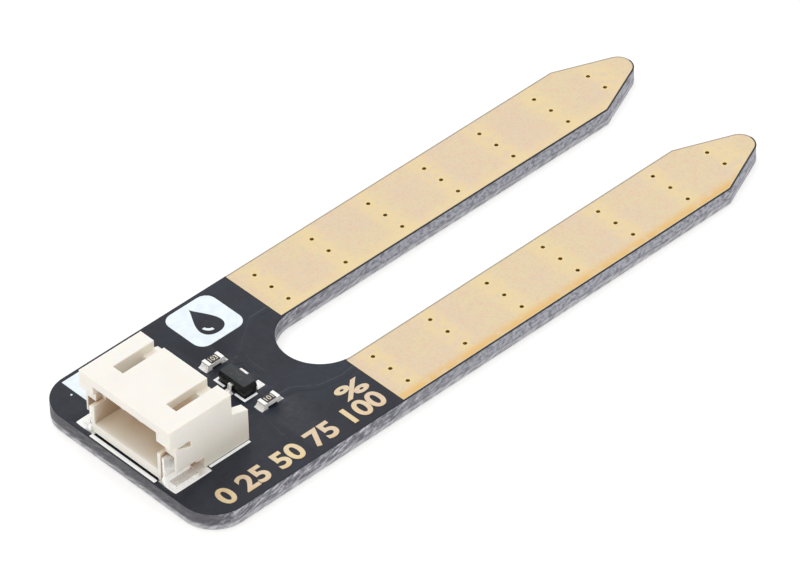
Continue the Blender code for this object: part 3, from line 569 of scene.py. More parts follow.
def metal_finish(name, bright, dull, roughness, metallic, grain, depth):
    """Tin or solder: pale grey metal with cloudy patches and a softly uneven skin."""
    finish = Finish(name, roughness, metallic)
    cloud = finish.noise(grain, 2.0)
    finish.put("Base Color", finish.mix(finish.range(cloud, 0.35, 0.7), bright, dull))
    finish.put("Roughness", finish.range(cloud, 0.3, 0.7, roughness - 0.05, roughness + 0.08))
    finish.bump(finish.noise(grain, 1.0), depth)
    return finish.material


def plain_finish(name, first, second, roughness, grain, depth, metallic=0.0):
    """Two close tones in a fine grain, for ink, ceramic, glaze and moulding compound."""
    finish = Finish(name, roughness, metallic)
    cloud = finish.noise(grain, 4.0)
    fine = finish.noise(grain * 6, 2.0)
    colour = finish.mix(finish.range(cloud, 0.35, 0.68), first, second)
    colour = finish.mix(finish.range(fine, 0.55, 0.75, 0.0, 0.4), colour, second)
    finish.put("Base Color", colour)
    finish.put("Roughness", finish.range(cloud, 0.3, 0.7, roughness - 0.05, roughness + 0.08))
    finish.bump(finish.math("ADD", fine, cloud), depth)
    return finish.material


def epoxy_finish():
    """Moulding compound: near black, with a painted blue-grey sheen on the faces turned upwards."""
    finish = Finish("epoxy", 0.5)
    grain = finish.noise(24.0, 2.0)
    cloud = finish.noise(4.0, 4.0)
    top = finish.mix(finish.range(cloud, 0.35, 0.68), (0.017, 0.022, 0.027), (0.028, 0.034, 0.040))
    # Painted sheen: faces turned upwards get the lighter, bluer tone.
    colour = finish.mix(finish.range(finish.facing("Z"), 0.5, 0.9), (0.007, 0.007, 0.008), top)
    finish.put("Base Color", colour)
    finish.put("Roughness", finish.range(cloud, 0.3, 0.7, 0.46, 0.6))
    finish.bump(finish.math("ADD", grain, cloud), 0.008)
    return finish.material


MASK = mask_finish()
LAMINATE = laminate_finish()
GOLD = gold_finish()
NYLON = nylon_finish()
TIN = metal_finish("tin", (0.985, 0.98, 0.97), (0.90, 0.895, 0.88), 0.26, 0.5, 2.0, 0.004)
SOLDER = metal_finish("solder", (1.0, 0.995, 0.99), (0.93, 0.925, 0.92), 0.34, 0.4, 2.4, 0.006)
# Painted shade: a darker copy of the tin, for the pins inside the plug cavity.
SHADED_PIN_TIN = metal_finish("shaded_pin_tin", (0.78, 0.76, 0.73), (0.64, 0.62, 0.59), 0.28, 1.0, 2.0, 0.003)
INK = plain_finish("ink", (0.79, 0.86, 0.92), (0.72, 0.80, 0.87), 0.6, 1.2, 0.006)
# Painted light: a brighter copy of the same silkscreen ink, for the thin printed lines.
BRIGHTENED_INK = plain_finish("brightened_ink", (0.96, 0.975, 0.99), (0.90, 0.92, 0.94), 0.6, 1.2, 0.004)
ALUMINA = plain_finish("alumina", (0.86, 0.86, 0.85), (0.76, 0.76, 0.75), 0.5, 3.0, 0.004)
GLAZE = plain_finish("glaze", (0.014, 0.014, 0.017), (0.030, 0.030, 0.034), 0.30, 3.0, 0.004)
EPOXY = epoxy_finish()
MARKING = plain_finish("marking", (0.055, 0.056, 0.06), (0.045, 0.046, 0.05), 0.6, 4.0, 0.004)
CODE = plain_finish("code", (0.70, 0.66, 0.54), (0.60, 0.56, 0.45), 0.5, 3.0, 0.004)
SILICON = plain_finish("silicon", (0.18, 0.19, 0.22), (0.12, 0.13, 0.16), 0.15, 3.0, 0.002, 0.6)
WIRE = plain_finish("wire", (0.95, 0.75, 0.35), (0.88, 0.66, 0.28), 0.2, 3.0, 0.002, 1.0)
FILM = plain_finish("film", (0.09, 0.09, 0.10), (0.06, 0.06, 0.07), 0.5, 3.0, 0.004)


# ---- Board


def track_distance(x, y, tracks, vias):
    """Distance from a point to the nearest track centre line. Vias count as round lands."""
    nearest = 1e9
    for line in tracks:
        for (x0, y0), (x1, y1) in zip(line, line[1:]):
            dx, dy = x1 - x0, y1 - y0
            t = ((x - x0) * dx + (y - y0) * dy) / (dx * dx + dy * dy)
            t = min(max(t, 0.0), 1.0)
            nearest = min(nearest, hypot(x - x0 - t * dx, y - y0 - t * dy))
    for via_x, via_y in vias:
        nearest = min(nearest, max(0.0, hypot(x - via_x, y - via_y) - 0.25))
    return nearest


def ridge_points(tracks, vias):
    """Points across and along the tracks, close enough to carry a ridge's profile."""
    offsets = (0.0, 0.08, 0.15, 0.19, 0.225, 0.26, 0.3, 0.38)
    points = []
    for line in tracks:
        for (x0, y0), (x1, y1) in zip(line, line[1:]):
            length = hypot(x1 - x0, y1 - y0)
            along = ((x1 - x0) / length, (y1 - y0) / length)
            count = ceil(length / 0.22)
            for step in range(count + 1):
                x = x0 + (x1 - x0) * step / count
                y = y0 + (y1 - y0) * step / count
                for offset in offsets:
                    for sign in (-1, 1) if offset else (1,):
                        points.append((x - sign * offset * along[1], y + sign * offset * along[0]))
    for centre in vias:
        for radius in (0.2, 0.3, 0.4, 0.45, 0.5, 0.55, 0.63):
            points += circle(centre, radius, 20)
    return points


def clear_of(point, boxes, outline, margin=0.04):
    x, y = point
    for low_x, high_x, low_y, high_y in boxes:
        if low_x - margin < x < high_x + margin and low_y - margin < y < high_y + margin:
            return False
    return x < GOLD_START_X - 0.05 and inside(point, outline)


# The lacquer's outer edge, as (inset, z) from the underside outwards. It wraps a little over the laminate.
MASK_LIP = [
    (0.11, 1.56),
    (0.05, 1.55),
    (0.02, 1.535),
    (0.0, 1.535),
    (0.004, 1.557),
    (0.014, 1.577),
    (0.034, 1.592),
    (0.07, BOARD_TOP),
]
# Underneath, the lacquer stops short at the edge instead.
MASK_FOOT = [(0.08, 1.56), (0.065, 1.565), (0.065, 1.59), (0.08, BOARD_TOP)]
CORE_LIP = [(0.025, 1.52), (0.03, 1.53), (0.06, 1.54), (0.12, CORE_HIGH)]
CORE_FOOT = [(0.05, CORE_LOW), (0.03, 0.05), (0.02, 0.07)]


def mask_sheet(name, tracks, windows, flip):
    """Lacquer film with an open window over each pad and electrode, raised over every track."""
    def level(z):
        return BOARD_TOP - z if flip else z

    def gold_hole(side):
        def hole(inset):
            points = subdivided(lambda grow: electrode_outline(GOLD_MARGIN - 0.01 - grow), inset, 1.0)
            return points if side > 0 else mirrored(points)
        return hole

    shell = Shell()
    profile = [(0.0, BOARD_TOP - SHEET), (0.0, 1.583), (0.005, 1.594), (0.018, BOARD_TOP)]
    edge = MASK_FOOT if flip else MASK_LIP
    outer = [shell.ring(subdivided(board_outline, inset, 1.0), level(z)) for inset, z in edge]
    holes = [gold_hole(1), gold_hole(-1)] + [box_hole(box, 0.05) for box in windows]
    inner = []
    for hole in holes:
        inner.append([shell.ring(hole(0.6 * inset), level(z)) for inset, z in profile])
    for rings in [outer, *inner]:
        shell.stack(rings)
    outline = board_outline(0.1)
    start = len(shell.points)
    kept = set()
    for point in ridge_points(tracks, TENTED_VIAS):
        key = (round(point[0] / 0.03), round(point[1] / 0.03))
        if key in kept or not clear_of(point, windows, outline):
            continue
        kept.add(key)
        distance = track_distance(*point, tracks, TENTED_VIAS)
        rise = RIDGE_HEIGHT * smoothstep((RIDGE_EDGE - distance) / (RIDGE_EDGE - RIDGE_FLAT))
        shell.points.append((*point, level(BOARD_TOP + rise)))
    extra = list(range(start, len(shell.points)))
    shell.skin(outer[0], [rings[0] for rings in inner])
    shell.skin(outer[-1], [rings[-1] for rings in inner], extra)
    add_piece(name + "_film", shell.mesh(), MASK, "black_mask", name)


def core():
    """Laminate with a routed edge that is slightly rough."""
    centres = via_centres(1) + via_centres(-1)
    shell = Shell()
    heights = [0.1 + 1.38 * i / 12 for i in range(13)]
    levels = CORE_FOOT + [(0.02, z) for z in heights] + CORE_LIP
    outline = subdivided(board_outline, 0.0, 0.22)
    outer = []
    count = len(outline)
    for inset, z in levels:
        ring = []
        for i, (x, y) in enumerate(outline):
            ahead = outline[(i + 1) % count]
            behind = outline[i - 1]
            length = hypot(ahead[0] - behind[0], ahead[1] - behind[1])
            normal = ((ahead[1] - behind[1]) / length, (behind[0] - ahead[0]) / length)
            rough = noise.fractal(Vector((x * 1.4, y * 1.4, z * 5.0)), 1.0, 2.0, 3)
            depth = 0.015 * rough - inset
            ring.append((x + normal[0] * depth, y + normal[1] * depth))
        outer.append(shell.ring(ring, z))
    shell.stack(outer)
    inner = []
    for centre in centres:
        bore = circle(centre, VIA_BARREL + 0.01)
        inner.append([shell.ring(bore, CORE_LOW), shell.ring(bore, CORE_HIGH)])
        shell.stack(inner[-1])
    shell.skin(outer[0], [rings[0] for rings in inner])
    shell.skin(outer[-1], [rings[-1] for rings in inner])
    add_piece("fr4_core_edge", shell.mesh(), LAMINATE, "glass_laminate", "fr4_core")


RIM = [(0.44, 0.0), (0.33, 0.0), (0.26, 0.001), (0.215, 0.006), (0.18, 0.018), (VIA_BORE, 0.04)]
GOLD_EDGE = [(0.0, 0.03), (0.012, 0.016), (0.035, 0.006), (0.075, 0.0)]


def electrode(name, side):
    """Gold sheet on each face with a rounded rim, joined through the board by plated holes."""
    shell = Shell()
    centres = via_centres(side)

    def outline(inset):
        points = subdivided(lambda grow: electrode_outline(GOLD_MARGIN + grow), inset, 1.0)
        return points if side > 0 else mirrored(points)

    def bores(radius, z):
        return [shell.ring(circle(centre, radius), z) for centre in centres]

    faces = {}
    for top in (True, False):
        def level(depth):
            return BOARD_TOP - depth if top else depth

        rims = [shell.ring(outline(0.0), level(SHEET))]
        rims += [shell.ring(outline(inset), level(depth)) for inset, depth in GOLD_EDGE]
        shell.stack(rims)
        holes = [bores(radius, level(depth)) for radius, depth in RIM]
        for column in zip(*holes):
            shell.stack(column)
        barrels = bores(VIA_BARREL, level(SHEET))
        shell.skin(rims[-1], holes[0])
        shell.skin(rims[0], barrels)
        faces[top] = (holes[-1], barrels)
    for lower, upper in zip(faces[False][0] + faces[False][1], faces[True][0] + faces[True][1]):
        shell.wall(lower, upper)
    piece = add_piece(name + "_plating", shell.mesh(), GOLD, "plated_gold", name)
    mark_rim_highlight(piece, centres)


def mark_rim_highlight(piece, centres):
    """Point attribute for the gold's painted highlight: 1 at each plated hole and on the sheet's rounded
    rim, and 0 elsewhere.
    """
    rim_highlight = piece.data.attributes.new("rim_highlight", "FLOAT", "POINT")
    for vert in piece.data.vertices:
        x, y, z = vert.co / MM
        nearest = min(hypot(x - via_x, y - via_y) for via_x, via_y in centres)
        value = smoothstep((0.44 - nearest) / 0.2)
        if nearest > 0.5 and min(z, BOARD_TOP - z) > 0.003:
            value = 1.0
        rim_highlight.data[vert.index].value = value


# ---- Printing on the mask


INK_LEVELS = [(0.0, BOARD_TOP - 0.005), (0.0, BOARD_TOP + 0.012), (0.012, BOARD_TOP + 0.018)]


def printed(name, outline, holes=(), ink=INK):
    """Flat ink with a slightly rounded upper edge."""
    add_piece(name, plate(outline, holes, INK_LEVELS), ink, "black_mask")


def ink_box(box, radius):
    """A rounded rectangle that shrinks with the inset it is given."""
    def outline(inset):
        low_x, high_x, low_y, high_y = box
        shrunk = (low_x + inset, high_x - inset, low_y + inset, high_y - inset)
        return rounded_box(shrunk, max(radius - inset, 0.004), 5)
    return outline


def drop_outline(centre_x, centre_y, width, height, steps=72):
    """Water drop with its point towards +Y, and a round belly."""
    points = []
    for i in range(steps):
        angle = 2 * pi * i / steps
        x = sin(angle) * sin(angle / 2) ** 1.7
        points.append((centre_x - 0.64 * width * x, centre_y + height / 2 * cos(angle)))
    return points


def glint_outline(centre_x, centre_y, radius):
    """Crescent that marks the drop's lower left side."""
    outer = arc(centre_x, centre_y, radius, radians(185), radians(265), 14)
    inner = arc(centre_x, centre_y, radius - 0.24, radians(262), radians(188), 14)
    return outer + inner


TILE = (-17.44, -12.71, 4.9, 9.6)


def legends():
    middle_x = (TILE[0] + TILE[1]) / 2
    drop = drop_outline(middle_x, 7.3, 2.5, 3.5)
    printed("tile_print", ink_box(TILE, 0.95), [lambda inset: drop])
    printed("drop_glint_print", lambda inset: glint_outline(middle_x, 6.75, 0.74 - inset))
    printed("block_print", ink_box((-27.41, -22.2, 5.5, 9.62), 0.05))
    printed("dot_print", lambda inset: circle((-27.8, 8.07), 0.09 - inset, 16))
    lines = [
        ("front_line_print", (-29.9, -29.56, -3.55, 3.7)),
        ("right_line_print", (-25.8, -21.75, -5.28, -5.02)),
        ("left_line_print", (-25.8, -21.75, 5.02, 5.28)),
        ("collector_left_print", (-19.12, -18.90, 0.66, 1.80)),
        ("collector_right_print", (-19.12, -18.90, -1.72, -0.50)),
        ("transistor_left_print", (-18.90, -17.6, 1.58, 1.80)),
        ("transistor_right_print", (-18.90, -17.75, -1.72, -1.50)),
    ]
    for name, box in lines:
        # The lines take the brighter ink copy, which is painted light.
        printed(name, ink_box(box, 0.04), ink=BRIGHTENED_INK)


def numerals(name, text, box, heights, ink, weight):
    """Digits from the built-in typeface, fitted to a box. ink is the material and its slot."""
    curve = bpy.data.curves.new(name, "FONT")
    curve.body = text
    curve.offset = weight
    curve.resolution_u = 6
    curve.extrude = 0.5
    scratch = new_object(name + "_curve", curve)
    bpy.context.view_layer.update()
    mesh = bpy.data.meshes.new_from_object(scratch.evaluated_get(bpy.context.evaluated_depsgraph_get()))
    bm = bmesh.new()
    bm.from_mesh(mesh)
    bpy.data.objects.remove(scratch)
    bpy.data.curves.remove(curve)
    bpy.data.meshes.remove(mesh)
    bmesh.ops.remove_doubles(bm, verts=bm.verts, dist=1e-5)
    lows = [min(vert.co[axis] for vert in bm.verts) for axis in range(3)]
    highs = [max(vert.co[axis] for vert in bm.verts) for axis in range(3)]
    target = ((box[0], box[1]), (box[2], box[3]), heights)
    for vert in bm.verts:
        for axis in range(3):
            start, end = target[axis]
            t = (vert.co[axis] - lows[axis]) / (highs[axis] - lows[axis])
            vert.co[axis] = start + (end - start) * t
    return add_piece(name, bm, *ink)


SCALE_BOX = (-27.75, -11.25, -9.3, -7.4)
PERCENT_BOX = (-13.75, -11.15, -7.15, -5.45)


def lettering():
    heights = (BOARD_TOP - 0.005, BOARD_TOP + 0.02)
    gilt = (GOLD, "plated_gold")
    numerals("scale_numerals", "0 25 50 75 100", SCALE_BOX, heights, gilt, 0.03)
    numerals("percent_sign", "%", PERCENT_BOX, heights, gilt, 0.03)
    for name, text in (("pulldown_resistor", "103"), ("series_resistor", "101")):
        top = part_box(name + "_overcoat")[1].z / MM
        centre = RESISTOR_Y[name]
        box = (RESISTOR_X - 0.36, RESISTOR_X + 0.36, centre - 0.24, centre + 0.24)
        numerals(name + "_code", text, box, (top - 0.002, top + 0.006), (CODE, "black_glaze"), 0.01)
    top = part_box("transistor_body")[1].z / MM
    box = (TRANSISTOR_X - 0.3, TRANSISTOR_X + 0.3, -0.55, 0.55)
    numerals("transistor_marking", "24", box, (top - 0.002, top + 0.003), (MARKING, "black_epoxy"), 0.0)


# ---- Header shroud


# Sizes of the header, as in the CAD part. x runs from its front and z from its foot.
EASE = 0.055
EASE_PULL = 0.293
SHROUD_DEPTH = 6.2
SHROUD_HALF = 5.0
SHROUD_HEIGHT = 5.5
CAVITY_DEPTH = 5.0
CAVITY_HALF = 3.5
CAVITY_FLOOR, CAVITY_ROOF = 1.0, 4.7
STANDOFF_DEPTH = 4.5
STANDOFF = 0.14
PIN_HALF = 0.26
PIN_LOW, PIN_HIGH = 2.44, 2.96
WING_LENGTH = 1.6
WING_HEIGHT = 3.5
WING_DROP = 0.5
WING_INNER = 4.2
LATCH_START = 2.1
LATCH_INNER = 2.4
RECESS_DEPTH = 0.55
RECESS_INNER = 3.85
RECESS_HEIGHT = 3.85
NOTCH_DEPTH = 1.2
POCKET_START, POCKET_END = 0.4, 2.5
POCKET_OUTER = 4.78
POCKET_TOP = 2.7
SIDE_SLOT_TOP = 1.2
SIDE_NOTCH_START, SIDE_NOTCH_END = 2.4, 3.35
SIDE_NOTCH_TOP = 1.0
WINDOW_START, WINDOW_END = 0.85, 2.1
WINDOW_LOW, WINDOW_HIGH = 2.96, 3.5
WINDOW_INNER = 4.55
# A cut that runs out of the housing ends somewhere in the air: in front, below, above, behind or beside it.
FRONT, BELOW, ABOVE, BEHIND, BESIDE = -1.0, -1.0, 6.0, 8.0, 6.0
PIN_CUT_END = 7.0


def side_boxes(side):
    """The wing and every cut at one side of the housing, in order."""
    def across(inner, outer):
        return tuple(sorted((side * inner, side * outer)))

    wing = (SHROUD_DEPTH - 0.5, SHROUD_DEPTH + WING_LENGTH)
    pocket = (POCKET_START, POCKET_END)
    notch = (SIDE_NOTCH_START, SIDE_NOTCH_END)
    window = (WINDOW_START, WINDOW_END)
    return [
        (True, wing, across(WING_INNER, SHROUD_HALF), (0.0, WING_HEIGHT)),
        (False, (LATCH_START, BEHIND), across(LATCH_INNER, CAVITY_HALF), (CAVITY_ROOF, ABOVE)),
        (False, (FRONT, RECESS_DEPTH), across(RECESS_INNER, BESIDE), (BELOW, RECESS_HEIGHT)),
        (False, (FRONT, NOTCH_DEPTH), across(CAVITY_HALF, RECESS_INNER), (POCKET_TOP, RECESS_HEIGHT)),
        (False, pocket, across(RECESS_INNER, POCKET_OUTER), (BELOW, POCKET_TOP)),
        (False, pocket, across(RECESS_INNER, BESIDE), (BELOW, SIDE_SLOT_TOP)),
        (False, notch, across(WING_INNER, BESIDE), (BELOW, SIDE_NOTCH_TOP)),
        (False, window, across(WINDOW_INNER, BESIDE), (WINDOW_LOW, WINDOW_HIGH)),
    ]


def shroud_boxes():
    """Boxes that are filled or cut in turn, as (filled, x, y and z ranges)."""
    cavity = (-CAVITY_HALF, CAVITY_HALF)
    boxes = [
        (True, (0.0, SHROUD_DEPTH), (-SHROUD_HALF, SHROUD_HALF), (0.0, SHROUD_HEIGHT)),
        (False, (FRONT, CAVITY_DEPTH), cavity, (CAVITY_FLOOR, CAVITY_ROOF)),
        (False, (FRONT, STANDOFF_DEPTH), cavity, (BELOW, STANDOFF)),
    ]
    for pin_y in PIN_Y.values():
        hole = (pin_y - PIN_HALF, pin_y + PIN_HALF)
        boxes.append((False, (STANDOFF_DEPTH, PIN_CUT_END), hole, (PIN_LOW, PIN_HIGH)))
    for side in (-1, 1):
        boxes += side_boxes(side)
    return boxes


def cut_planes(ranges):
    """Every box face, and a plane one easing radius to each side of it."""
    planes = set()
    for pair in ranges:
        for value in pair:
            planes.update((round(value - EASE, 4), round(value, 4), round(value + EASE, 4)))
    return sorted(planes)


def filled_cells(boxes, planes):
    """The grid cells that lie in the solid."""
    cells = set()
    for filled, *ranges in boxes:
        spans = []
        for axis_planes, (low, high) in zip(planes, ranges):
            spans.append((axis_planes.index(round(low, 4)), axis_planes.index(round(high, 4))))
        span_x, span_y, span_z = spans
        block = {(i, j, k) for i in range(*span_x) for j in range(*span_y) for k in range(*span_z)}
        cells = cells | block if filled else cells - block
    return cells


def eased_corner(cells, corner):
    """How a grid corner moves to round the edges: inwards on an outer edge, outwards in a nook."""
    around = [(i, j, k) for i in (-1, 0) for j in (-1, 0) for k in (-1, 0)]
    full = [step for step in around if tuple(c + d for c, d in zip(corner, step)) in cells]
    if len(full) == 4:
        return (0.0, 0.0, 0.0)
    sign = 1 if len(full) < 4 else -1
    pull = [sum(2 * step[axis] + 1 for step in full) for axis in range(3)]
    reach = EASE_PULL * EASE * sign
    return tuple(reach * ((value > 0) - (value < 0)) for value in pull)


def shaped(x, y, z):
    """Lower the wings towards the back, and narrow the side windows towards the front."""
    if x > SHROUD_DEPTH:
        z *= 1 - WING_DROP / WING_HEIGHT * min((x - SHROUD_DEPTH) / WING_LENGTH, 1.0)
    ceiling = WINDOW_HIGH - EASE
    if abs(y) > WINDOW_INNER - 2 * EASE and WINDOW_START - 2 * EASE < x < WINDOW_END + 2 * EASE:
        if WINDOW_LOW - 2 * EASE < z < ceiling:
            t = min(max((x - WINDOW_START) / (WINDOW_END - WINDOW_START), 0.0), 1.0)
            z = ceiling - (ceiling - z) * (0.12 + 0.88 * t)
    return x, y, z


def shroud():
    """Moulded housing on a grid of its own faces, with every edge rounded."""
    low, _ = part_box("header_housing")
    boxes = shroud_boxes()
    planes = [cut_planes([box[axis] for box in boxes]) for axis in (1, 2, 3)]
    cells = filled_cells(boxes, planes)
    bm = bmesh.new()
    verts = {}

    def vert(corner):
        if corner not in verts:
            shift = eased_corner(cells, corner)
            x, y, z = shaped(*[planes[axis][corner[axis]] + shift[axis] for axis in range(3)])
            verts[corner] = bm.verts.new((low.x / MM + x, y, low.z / MM + z))
        return verts[corner]

    for cell in sorted(cells):
        for axis in range(3):
            for ahead in (0, 1):
                beyond = list(cell)
                beyond[axis] += 2 * ahead - 1
                if tuple(beyond) in cells:
                    continue
                first, second = [other for other in range(3) if other != axis]
                ring = []
                for a, b in ((0, 0), (1, 0), (1, 1), (0, 1)):
                    corner = list(cell)
                    corner[axis] += ahead
                    corner[first] += a
                    corner[second] += b
                    ring.append(vert(tuple(corner)))
                bm.faces.new(ring)
    bmesh.ops.recalc_face_normals(bm, faces=bm.faces)
    add_piece("header_shroud", bm, NYLON, "natural_nylon", "header_housing")


# ---- Solder


MOUND_STEP = 0.04
MOUND_BASE = 0.035
MOUND_LIP = 0.09
MOUND_RIPPLE = 0.006


def mound(name, pad, foot, climb, reach, node, power=2.2):
    """Solder over a pad, drawn up against a metal foot. pad and foot are footprints on the board."""
    centre_x, centre_y = (pad[0] + pad[1]) / 2, (pad[2] + pad[3]) / 2
    half_x, half_y = (pad[1] - pad[0]) / 2, (pad[3] - pad[2]) / 2
    columns = max(20, round(half_x / MOUND_STEP))
    rows = max(20, round(half_y / MOUND_STEP))
    stride = rows + 1
    bm = bmesh.new()
    top, bottom = [], []
    for i in range(columns + 1):
        for j in range(stride):
            u = -cos(pi * i / columns)
            v = -cos(pi * j / rows)
            x = centre_x + half_x * u * (1 - 0.03 * v ** 4)
            y = centre_y + half_y * v * (1 - 0.03 * u ** 4)
            out_x = max(foot[0] - x, x - foot[1], 0.0)
            out_y = max(foot[2] - y, y - foot[3], 0.0)
            drawn = max(0.0, 1 - hypot(out_x, out_y) / reach) ** power
            border = min((1 - abs(u)) * half_x, (1 - abs(v)) * half_y)
            edge = min(1.0, max(border, 0.0) / MOUND_LIP) ** 0.6
            ripple = MOUND_RIPPLE * noise.noise(Vector((x * 5, y * 5, 0.0)))
            height = (MOUND_BASE + climb * drawn + ripple) * edge
            top.append(bm.verts.new((x, y, BOARD_TOP - 0.008 + height)))
            bottom.append(bm.verts.new((x, y, BOARD_TOP - 0.015)))
    for i in range(columns):
        for j in range(rows):
            a, b = i * stride + j, (i + 1) * stride + j
            bm.faces.new((top[a], top[b], top[b + 1], top[a + 1]))
            bm.faces.new((bottom[a], bottom[a + 1], bottom[b + 1], bottom[b]))
    rim = [(i, 0) for i in range(columns)] + [(columns, j) for j in range(rows)]
    rim += [(i, rows) for i in range(columns, 0, -1)] + [(0, j) for j in range(rows, 0, -1)]
    rim = [i * stride + j for i, j in rim]
    for i in range(len(rim)):
        bm.faces.new((bottom[rim[i - 1]], bottom[rim[i]], top[rim[i]], top[rim[i - 1]]))
    bmesh.ops.recalc_face_normals(bm, faces=bm.faces)
    add_piece(name, bm, SOLDER, "solder", node)


def solder_joints():
    for name, y in PIN_Y.items():
        foot = (PIN_BEND, PIN_BEND + 1.6, y - 0.25, y + 0.25)
        mound(name + "_fillet", (-23.85, -20.45, y - 0.48, y + 0.48), foot, 0.26, 0.34, name + "_solder")
    for name, side in (("left_solder_tab", 1), ("right_solder_tab", -1)):
        pad = (-29.6, -25.92, *sorted((side * 3.87, side * 5.58)))
        blade = (-29.3, -27.15, *sorted((side * 3.8, side * 4.15)))
        mound(name + "_fillet", pad, blade, 0.7, 0.5, name + "_solder", 1.3)
    for name, y in RESISTOR_Y.items():
        for end, sign in (("header_end", -1), ("prong_end", 1)):
            pad = sorted((RESISTOR_X + sign * 0.46, RESISTOR_X + sign * 1.12))
            foot = sorted((RESISTOR_X + sign * 0.46, RESISTOR_X + sign * 0.8))
            mound(name + "_" + end + "_fillet", (*pad, y - 0.46, y + 0.46), (*foot, y - 0.4, y + 0.4),
                  0.36, 0.34, name + "_" + end + "_solder", 1.8)
    leads = {"collector": (-1, 0.0), "base": (1, -LEAD_OFFSET), "emitter": (1, LEAD_OFFSET)}
    for name, (sign, y) in leads.items():
        pad = sorted((TRANSISTOR_X + sign * 0.76, TRANSISTOR_X + sign * 1.58))
        foot = sorted((TRANSISTOR_X + sign * 0.86, TRANSISTOR_X + sign * 1.25))
        outer = 0.4 if name == "collector" else 0.41
        mound(name + "_fillet", (*pad, y - outer, y + outer), (*foot, y - 0.2, y + 0.2),
              0.15, 0.32, "transistor_" + name + "_solder")


# ---- CAD nodes that keep their shape: edges are eased, and each gets its own finish


def eased(node, material, width, segments=3):
    """Round a CAD node's edges with modifiers and give it a finish."""
    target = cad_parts[node]
    target.data.materials.clear()
    target.data.materials.append(material)
    for polygon in target.data.polygons:
        polygon.use_smooth = True
    weld = target.modifiers.new("weld", "WELD")
    weld.merge_threshold = 0.0005 * MM
    flat = target.modifiers.new("flat", "DECIMATE")
    flat.decimate_type = "DISSOLVE"
    flat.angle_limit = radians(0.5)
    if width:
        bevel = target.modifiers.new("ease", "BEVEL")
        bevel.width = width * MM
        bevel.segments = segments
        bevel.limit_method = "ANGLE"
        bevel.angle_limit = radians(20)
        bevel.harden_normals = True


def kept_nodes():
    for name in PIN_Y:
        # The pins take the darker tin copy, which is painted shade.
        eased(name, SHADED_PIN_TIN, 0.05)
    for side in ("left", "right"):
        eased(side + "_solder_tab", TIN, 0.05)
        eased(side + "_anchor_pad", SOLDER, 0.0)
    for net in ("ground", "supply", "signal"):
        eased(net + "_copper", SOLDER, 0.0)
    for name in RESISTOR_Y:
        eased(name + "_ceramic", ALUMINA, 0.02)
        eased(name + "_film", FILM, 0.0)
        eased(name + "_overcoat", GLAZE, 0.01)
        for end in ("header_end", "prong_end"):
            eased(name + "_" + end + "_terminal", TIN, 0.012)
    eased("transistor_body", EPOXY, 0.04)
    eased("transistor_die", SILICON, 0.0)
    for lead in ("collector", "base", "emitter"):
        eased("transistor_" + lead + "_lead", TIN, 0.03)
    eased("base_bond_wire", WIRE, 0.0)
    eased("emitter_bond_wire", WIRE, 0.0)


# ---- Studio


def area_light(name, direction, distance, size, power):
    """Square soft light that points at the middle of the part, and isn't mirrored in the gold."""
    light = bpy.data.lights.new(name, "AREA")
    light.shape = "SQUARE"
    light.size = size
    light.energy = power
    lamp = new_object(name, light)
    away = Vector(direction).normalized()
    lamp.location = away * distance
    lamp.rotation_mode = "QUATERNION"
    lamp.rotation_quaternion = away.to_track_quat("Z", "Y")
    lamp.visible_glossy = False


# The floor lies level with the ridges of the lower tracks, which stand out under the board.
FLOOR_Z = -0.02


def floor():
    """Pale paper just under the board. It can be looked through from below."""
    bm = bmesh.new()
    bmesh.ops.create_grid(bm, x_segments=8, y_segments=8, size=1.5)
    for vert in bm.verts:
        vert.co.z = FLOOR_Z * MM
    mesh = bpy.data.meshes.new("floor")
    bm.to_mesh(mesh)
    bm.free()
    paper = Finish("paper", 0.9)
    paper.put("Base Color", paper.mix(paper.noise(0.02, 2.0), (0.66, 0.66, 0.66), (0.64, 0.64, 0.64)))
    paper.put("Emission Color", (1.0, 1.0, 1.0))
    paper.put("Emission Strength", 0.42)
    geometry = paper.node("NewGeometry")
    paper.put("Alpha", paper.math("SUBTRACT", 1.0, geometry.outputs["Backfacing"]))
    mesh.materials.append(paper.material)
    new_object("floor", mesh)


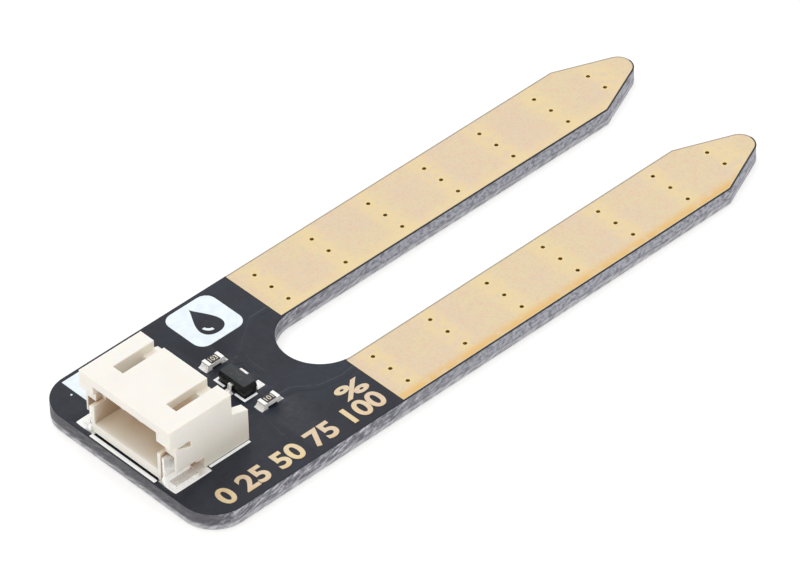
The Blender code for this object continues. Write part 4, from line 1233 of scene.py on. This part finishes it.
def studio():
    """Wide soft surroundings, brighter behind the part than behind the camera, and one soft light above."""
    scene = bpy.context.scene
    scene.view_settings.view_transform = "Standard"
    world = bpy.data.worlds.new("studio")
    world.use_nodes = True
    scene.world = world
    nodes = world.node_tree.nodes
    links = world.node_tree.links
    direction = nodes.new("ShaderNodeTexCoord")
    facing = nodes.new("ShaderNodeVectorMath")
    facing.operation = "DOT_PRODUCT"
    facing.inputs[1].default_value = Vector((0.64, 0.50, 0.58)).normalized()
    level = nodes.new("ShaderNodeMapRange")
    level.inputs["From Min"].default_value = -0.5
    level.inputs["From Max"].default_value = 0.9
    tint = nodes.new("ShaderNodeMix")
    tint.data_type = "RGBA"
    tint.inputs[6].default_value = (0.85, 0.83, 0.775, 1.0)
    tint.inputs[7].default_value = (1.0, 0.995, 0.985, 1.0)
    links.new(direction.outputs["Generated"], facing.inputs[0])
    links.new(facing.outputs["Value"], level.inputs["Value"])
    links.new(level.outputs[0], tint.inputs[0])
    links.new(tint.outputs[2], nodes["Background"].inputs["Color"])
    nodes["Background"].inputs["Strength"].default_value = 1.0
    area_light("key", (-0.05, 0.15, 1.0), 0.6, 0.5, 1.0)


CAMERA_AZIMUTH = radians(-42.512)
CAMERA_ELEVATION = radians(41.026)
CAMERA_ROLL = radians(-1.503)
CAMERA_TARGET = (-1.415, 0.046, BOARD_TOP)
CAMERA_DISTANCE = 528.81
CAMERA_LENS = 311.69


def camera():
    """The viewing angle of a product photograph, from the header's front right corner."""
    azimuth, elevation, roll = CAMERA_AZIMUTH, CAMERA_ELEVATION, CAMERA_ROLL
    target = Vector(CAMERA_TARGET) * MM
    forward = -Vector((sin(azimuth) * cos(elevation), -cos(azimuth) * cos(elevation), sin(elevation)))
    right = Vector((cos(azimuth), sin(azimuth), 0.0))
    up = right.cross(forward)
    tilted_right = cos(roll) * right + sin(roll) * up
    tilted_up = -sin(roll) * right + cos(roll) * up
    data = bpy.data.cameras.new("camera")
    data.lens = CAMERA_LENS
    data.sensor_width = 36.0
    data.clip_start, data.clip_end = 0.01, 10.0
    view = new_object("camera", data)
    rotation = Matrix((tilted_right, tilted_up, -forward)).transposed().to_4x4()
    view.matrix_world = Matrix.Translation(target - forward * CAMERA_DISTANCE * MM) @ rotation
    bpy.context.scene.camera = view


core()
mask_sheet("top_solder_mask", TOP_TRACKS, WINDOWS, False)
mask_sheet("bottom_solder_mask", BOTTOM_TRACKS, [], True)
electrode("left_electrode", 1)
electrode("right_electrode", -1)
legends()
lettering()
shroud()
solder_joints()
kept_nodes()
floor()
studio()
camera()
